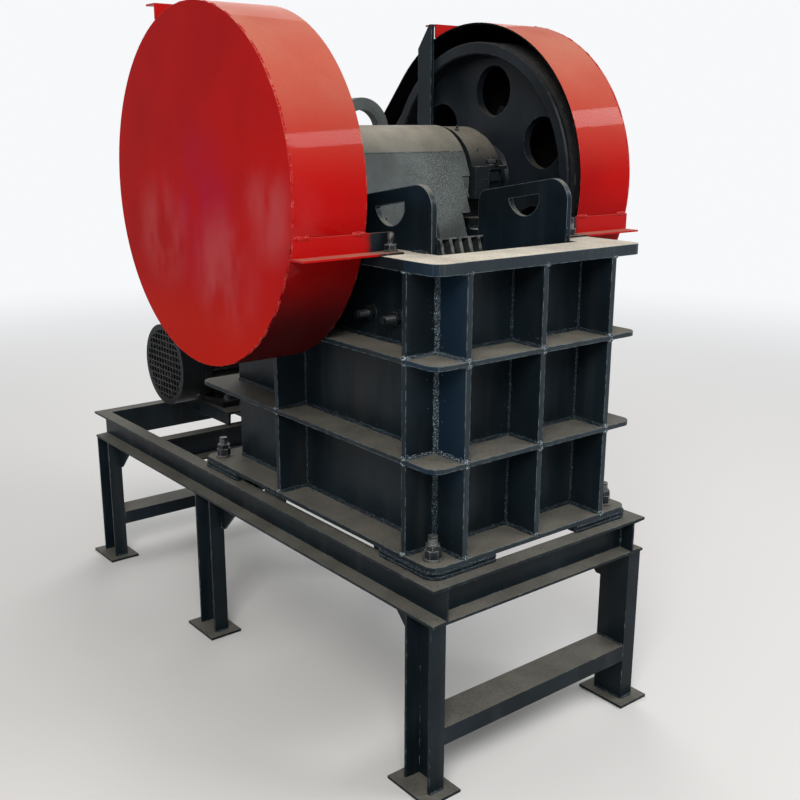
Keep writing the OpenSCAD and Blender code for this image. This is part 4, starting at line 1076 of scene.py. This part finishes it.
# %% Tacks on the brackets
BRACKET_FACE = 0.712
BRACKET_TOP = 1.385
BRACKET_TACK = 0.0065
TACK_PLACES = ((0.368, 0.412), (0.532, 0.576))
bracket_skins = Skins()
for side, ends in product((-1, 1), TACK_PLACES):
    rope(bracket_skins, [at(BRACKET_FACE, side * y, BRACKET_TOP) for y in ends], BRACKET_TACK)
bracket_skins.place("bracket_tacks", guard_weld_paint, "guard_paint")

# %% [markdown]
# Nuts, washers and studs are turned forms: a list of radii and heights round an axis. A hexagon is the
# same with six sides, a little narrower at both faces for its chamfer, and a thread is a row of crests a
# pitch apart.

# %% Nuts, washers and threads
WASHER_CHAMFER = 0.0006
WASHER_THICK = 0.003
WASHER_SIDES, FACE_SIDES = 28, 24
NUT_CHAMFER, NUT_NARROW = 0.072, 0.9
NUT_FACE, NUT_FACE_TOP = (0.84, 0.8), 0.0008
NUT_FACE_SINK = 0.0002
NUT_GAP = 0.0004
THREAD_ROOT, THREAD_TIP, TIP_PITCHES = 0.9, 0.75, 0.4
WASHER_SHARE, NUT_SHARE, NUT_HIGH = 2.15, 1.85, 1.65


def washer(skins, place, axis, radius, thick):
    inner, upper = radius - WASHER_CHAMFER, thick - WASHER_CHAMFER
    profile = [(inner, 0), (radius, WASHER_CHAMFER), (radius, upper), (inner, thick)]
    skins.turned(place, axis, profile, WASHER_SIDES)


def hexagon(skins, place, axis, radius, high, angle=0.0):
    """A nut or a bolt's head, with the round face that its chamfer leaves."""
    narrow, chamfer = radius * NUT_NARROW, radius * NUT_CHAMFER
    profile = [(narrow, 0), (radius, chamfer), (radius, high - chamfer), (narrow, high)]
    skins.turned(place, axis, profile, 6, angle)
    face = [(radius * share, level) for share, level in zip(NUT_FACE, (0, NUT_FACE_TOP))]
    skins.turned(place + axis * (high - NUT_FACE_SINK), axis, face, FACE_SIDES)


def thread(skins, place, axis, radius, length, pitch=0.0025):
    """A threaded end: crests a pitch apart and a chamfered tip."""
    turns = max(2, round(length / pitch))
    profile = []
    for index in range(turns):
        profile += [(radius, pitch * index), (radius * THREAD_ROOT, pitch * (index + 0.5))]
    profile.append((radius * THREAD_TIP, pitch * (turns + TIP_PITCHES)))
    skins.turned(place, axis, profile)


def bolt(skins, place, axis, radius, stub, angle=0.0):
    """A stud with a washer and a nut, all in shares of the stud's radius."""
    washer(skins, place, axis, radius * WASHER_SHARE, WASHER_THICK)
    nut_foot = place + axis * (WASHER_THICK + NUT_GAP)
    hexagon(skins, nut_foot, axis, radius * NUT_SHARE, radius * NUT_HIGH, angle)
    thread(skins, nut_foot + axis * radius * NUT_HIGH, axis, radius, stub)


print("a nut's half width and height:", NUT_SHARE, NUT_HIGH, "of its stud's radius")

# %% [markdown]
# Four kinds of bolt show on the frame: those of the angle brackets, the caps' low nuts on two washers each,
# the anchor bolts and the cheek bolts. The packed model already holds the bodies of the last two, so their
# places are read from its solids, and only washers and threads are added there.

# %% Bolts on the frame
BRACKET_BOLTS = (-0.309, 0.326)
BRACKET_BOLT_X, BRACKET_SHEET = 0.731, 0.005
CAP_BOLT_X, CAP_BOLT_Y = 0.146, 0.32
CAP_WASHERS = ((0.0225, 0.0045), (0.0165, 0.0035))
CAP_NUT, CAP_NUT_HIGH = 0.0225, 0.0105
CAP_STUD, CAP_STUB = 0.009, 0.004
LEDGE_TOP = 1.516
ANCHOR_RADIUS, ANCHOR_PITCH = 0.0128, 0.003
ANCHOR_STUB, ANCHOR_SINK = 0.022, 0.001
ANCHOR_WASHER = (0.0265, 0.0035)
CHEEK_WASHER = (0.0215, 0.003)
CHEEK_STUD, CHEEK_STUB, CHEEK_HEAD = 0.0098, 0.033, 0.015

bolt_skins = Skins()
for y in BRACKET_BOLTS:
    place = at(BRACKET_BOLT_X, y, LEVEL_TOP + BRACKET_SHEET)
    bolt(bolt_skins, place, Z, radius=0.0085, stub=0.027, angle=0.4)
bolt_skins.place("bracket_bolts", bolt_steel, "bolt_steel", sharp=TURNED_SHARP)

cap_skins = Skins()
for side, offset in product((-1, 1), (-CAP_BOLT_X, CAP_BOLT_X)):
    place = at(SHAFT.x + offset, side * CAP_BOLT_Y, LEDGE_TOP)
    for radius, thick in CAP_WASHERS:
        washer(cap_skins, place, Z, radius, thick)
        place = place + Z * thick
    hexagon(cap_skins, place, Z, CAP_NUT, CAP_NUT_HIGH, angle=0.2)
    thread(cap_skins, place + Z * CAP_NUT_HIGH, Z, CAP_STUD, CAP_STUB)
cap_skins.place("cap_bolts", painted_bolt, "bolt_steel", sharp=TURNED_SHARP)

thread_skins = Skins()
for low, high in solids("anchor_bolts"):
    x, y = (low.x + high.x) / 2, (low.y + high.y) / 2
    foot = at(x, y, box("anchor_bolts")[1].z - ANCHOR_STUB + ANCHOR_SINK)
    thread(thread_skins, foot, Z, ANCHOR_RADIUS, ANCHOR_STUB - ANCHOR_PITCH, ANCHOR_PITCH)
    washer(thread_skins, at(x, y, plates[0][1].z - ANCHOR_SINK / 2), Z, *ANCHOR_WASHER)
thread_skins.place("anchor_threads", bolt_steel, "bolt_steel", sharp=TURNED_SHARP)

cheek_skins = Skins()
for low, high in solids("cheek_bolts"):
    side = 1 if low.y > 0 else -1
    wall = at((low.x + high.x) / 2, side * wall_high.y, (low.z + high.z) / 2)
    washer(cheek_skins, wall, Y * side, *CHEEK_WASHER)
    thread(cheek_skins, wall + Y * side * CHEEK_HEAD, Y * side, CHEEK_STUD, CHEEK_STUB)
cheek_skins.place("cheek_bolt_threads", painted_bolt, "bolt_steel", sharp=TURNED_SHARP)

# %% [markdown]
# Grease nipples sit on top of both bearing caps, and a plug screw closes a drilling in the side of each.

# %% Bearing fittings
CAP_RADIUS = 0.155
NIPPLE_ANGLE, NIPPLE_Y, NIPPLE_HEXAGON = 1.204, 0.262, (0.0065, 0.006)
PLUG_ANGLE, PLUG_Y, PLUG_HEXAGON = 0.61, 0.28, (0.00455, 0.0042)
NIPPLE = [(0.003, 0.005), (0.003, 0.009), (0.0042, 0.011), (0.0036, 0.014), (0.0015, 0.0155)]
fitting_skins = Skins()
for side in (-1, 1):
    out = radial(NIPPLE_ANGLE)
    foot = SHAFT + out * CAP_RADIUS + Y * side * NIPPLE_Y
    hexagon(fitting_skins, foot, out, *NIPPLE_HEXAGON)
    fitting_skins.turned(foot, out, NIPPLE, 12)
    out = radial(PLUG_ANGLE)
    hexagon(fitting_skins, SHAFT + out * CAP_RADIUS + Y * side * PLUG_Y, out, *PLUG_HEXAGON)
fitting_skins.place("bearing_fittings", bolt_steel, "bolt_steel", sharp=TURNED_SHARP)

# %% [markdown]
# The bearing housings are cast and then cleaned by hand. A line of sealing paste squeezes out of the joint
# at the height of the shaft, and the front corner is rough where the casting was chipped clean.

# %% Sealing line and rough corners
EAR_FRONT = 0.426
EAR_OUTER = 0.297
EAR_BOTTOM, EAR_TOP = 1.425, 1.505
SEAL_Z = (1.474, 1.477)
SEAL_SIZE, CHIPPED_SIZE = 0.0018, 0.0022
seal_skins = Skins()
for side in (-1, 1):
    line = [at(EAR_FRONT, side * y, z) for y, z in zip((wall_low.y, EAR_OUTER), SEAL_Z)]
    corner = [at(EAR_FRONT, side * EAR_OUTER, z) for z in (EAR_BOTTOM, EAR_TOP)]
    rope(seal_skins, line, SEAL_SIZE)
    rope(seal_skins, corner, CHIPPED_SIZE)
seal_skins.place("housing_seals", weld_paint, "casting_paint")

# %% [markdown]
# Where the two halves of a sand mould meet, a casting keeps a thin raised line. On the barrel it runs
# along the front at the height where the dust ends.

# %% Parting line on the barrel
BARREL_RADIUS = 0.160
BARREL_END = 0.2215
PARTING_STEPS = 111
PARTING_SIZE, PARTING_SINK = 0.0013, 0.0004
PARTING_WANDER, PARTING_SCALE, PARTING_SPREAD = 0.4, 70, 1.3
parting_angle = math.asin((PARTING_Z - SHAFT.z) / BARREL_RADIUS)
out, up = radial(parting_angle), radial(parting_angle + math.pi / 2)
rings = []
for index in range(PARTING_STEPS + 1):
    y = BARREL_END * (2 * index / PARTING_STEPS - 1)
    centre = SHAFT + out * (BARREL_RADIUS - PARTING_SINK) + Y * y
    size = PARTING_SIZE * (1 + PARTING_WANDER * noise.noise(centre * PARTING_SCALE))
    aside = up * size * PARTING_SPREAD
    rings.append([centre + aside, centre + out * size, centre - aside])
parting_skins = Skins()
parting_skins.loft(rings)
parting_skins.place("parting_line", cast_paint, "casting_paint", "jaw")

# %% [markdown]
# The motor's cover is open at its end, so a fan shows behind the grille: a hub with straight blades, as on
# a motor that may turn either way.

# %% Motor fan
FAN_BLADES, FAN_TURN = 9, 0.3
FAN_INSET = 0.03
BLADE_HALF = 0.0016
BLADE = ((0.036, 0.03), (0.07, 0.02), (0.118, 0.016))
BLADE_BACK = 0.082
HUB = [(0.03, 0), (0.034, 0.004), (0.04, 0.05), (0.11, 0.054), (0.11, 0.058)]
cover_low, cover_high = box("motor_fan_cover")
motor_high = box("motor_body")[1]
motor_skins = Skins()
motor_skins.turned(MOTOR + Y * (cover_low.y + FAN_INSET), Y, HUB, 32)
for blade in range(FAN_BLADES):
    angle = math.tau * (blade + FAN_TURN) / FAN_BLADES
    over = radial(angle + math.pi / 2) * BLADE_HALF
    rings = []
    for radius, front in BLADE:
        centre = MOTOR + radial(angle) * radius
        near, far = centre + Y * (cover_low.y + front), centre + Y * (cover_low.y + BLADE_BACK)
        rings.append([near - over, near + over, far + over, far - over])
    motor_skins.loft(rings)
motor_skins.place("motor_fan", motor_paint, "motor_paint", sharp=TURNED_SHARP)

# %% [markdown]
# The terminal box ends in a flat lid with bevelled edges, which is a loft of four rectangles. A cable gland
# sticks out of the box's side. The eye is a ring: small circles that follow a large one, joined end to end.

# %% Motor fittings
LID_HALF = (0.0575, 0.0625)
LID_THICK = 0.006
LID_BEVEL = 0.001
LID_Y = 0.097
LID_SCREWS = (0.045, 0.05)
LID_SCREW, LID_SCREW_SINK = (0.006, 0.004), 0.0005
GLAND_PLACE = at(0.053, 0, -0.029)
GLAND = [(0.014, 0), (0.014, 0.01), (0.011, 0.012), (0.011, 0.02), (0.008, 0.021)]
EYE_PLACE = at(0, -0.06, 0.116)
EYE_HIGH = 0.061
EYE_STEM = [(0.012, 0), (0.012, 0.036), (0.016, 0.037), (0.016, 0.041), (0.009, 0.043)]
EYE_RADIUS, EYE_THICK = 0.0165, 0.0045
EYE_STEPS, EYE_SIDES = 28, 10

lid_skins = Skins()
lid_foot = at(MOTOR.x, LID_Y, motor_high.z - LID_BEVEL)
rings = []
for inset, level in ((LID_BEVEL, 0), (0, LID_BEVEL), (0, LID_THICK - LID_BEVEL), (LID_BEVEL, LID_THICK)):
    half_x, half_y = LID_HALF[0] - inset, LID_HALF[1] - inset
    rings.append([lid_foot + at(x * half_x, y * half_y, level) for x, y in SQUARE])
lid_skins.loft(rings)
for x, y in product((-1, 1), (-1, 1)):
    offset = at(x * LID_SCREWS[0], y * LID_SCREWS[1], LID_THICK - LID_SCREW_SINK)
    hexagon(lid_skins, lid_foot + offset, Z, *LID_SCREW)
lid_skins.turned(lid_foot + GLAND_PLACE, X, GLAND)

eye_foot = MOTOR + EYE_PLACE
eye_centre = eye_foot + Z * EYE_HIGH
across = Y.orthogonal().normalized()
rings = []
for arm in spokes(across, Y.cross(across), EYE_STEPS):
    rings.append([eye_centre + arm * EYE_RADIUS + turn * EYE_THICK for turn in spokes(arm, Y, EYE_SIDES)])
lid_skins.turned(eye_foot, Z, EYE_STEM)
lid_skins.loft(rings, looped=True)
lid_skins.place("motor_fittings", motor_paint, "motor_paint", sharp=TURNED_SHARP)

# %% [markdown]
# Four screws hold the end shield and four the fan cover, all on the diagonals, and four bolts clamp the feet
# to the rails.

# %% Motor bolts
SHIELD_RADIUS, SHIELD_DEPTH, SHIELD_SCREW = 0.134, 0.111, (0.008, 0.006)
COVER_RADIUS, COVER_DEPTH, COVER_SCREW = 0.147, 0.016, (0.006, 0.005)
FOOT_X, FOOT_TOP_Z, RAIL_INSET = 0.122, 0.638, 0.05
screw_skins = Skins()
for out in spokes(X, Z, 4, math.pi / 4):
    hexagon(screw_skins, MOTOR + out * SHIELD_RADIUS + Y * (motor_high.y - SHIELD_DEPTH), Y, *SHIELD_SCREW)
    hexagon(screw_skins, MOTOR + out * COVER_RADIUS + Y * (cover_high.y - COVER_DEPTH), out, *COVER_SCREW)
rails = box("motor_rails")
for y, offset in product((rails[0].y + RAIL_INSET, rails[1].y - RAIL_INSET), (-FOOT_X, FOOT_X)):
    bolt(screw_skins, at(MOTOR.x + offset, y, FOOT_TOP_Z), Z, radius=0.007, stub=0.012)
screw_skins.place("motor_bolts", bolt_steel, "bolt_steel", sharp=TURNED_SHARP)

# %% [markdown]
# The last small parts are the thread on the tension rod and the bolts that hold the two support bars to
# the edge of the top flange.

# %% Rod thread and bar bolts
ROD_TIP = 0.0135
ROD_CREST = 0.0128
BAR_BOLTS = (0.018, 0.047)
BAR_MIDDLE = 0.014
rod_low, rod_high = box("tension_rod")
rod_skins = Skins()
rod_end = at(rod_low.x + ROD_TIP, 0, (rod_low.z + rod_high.z) / 2)
thread(rod_skins, rod_end, -X, ROD_CREST, length=0.012, pitch=0.003)
for low, high in solids("guard_bars"):
    side, outer = (1, high.y) if low.y > 0 else (-1, low.y)
    for offset in BAR_BOLTS:
        bolt(rod_skins, at(low.x + offset, outer, LEVEL_TOP - BAR_MIDDLE), Y * side, radius=0.006, stub=0.006)
rod_skins.place("rod_and_bar_bolts", bolt_steel, "bolt_steel", sharp=TURNED_SHARP)

# %% [markdown]
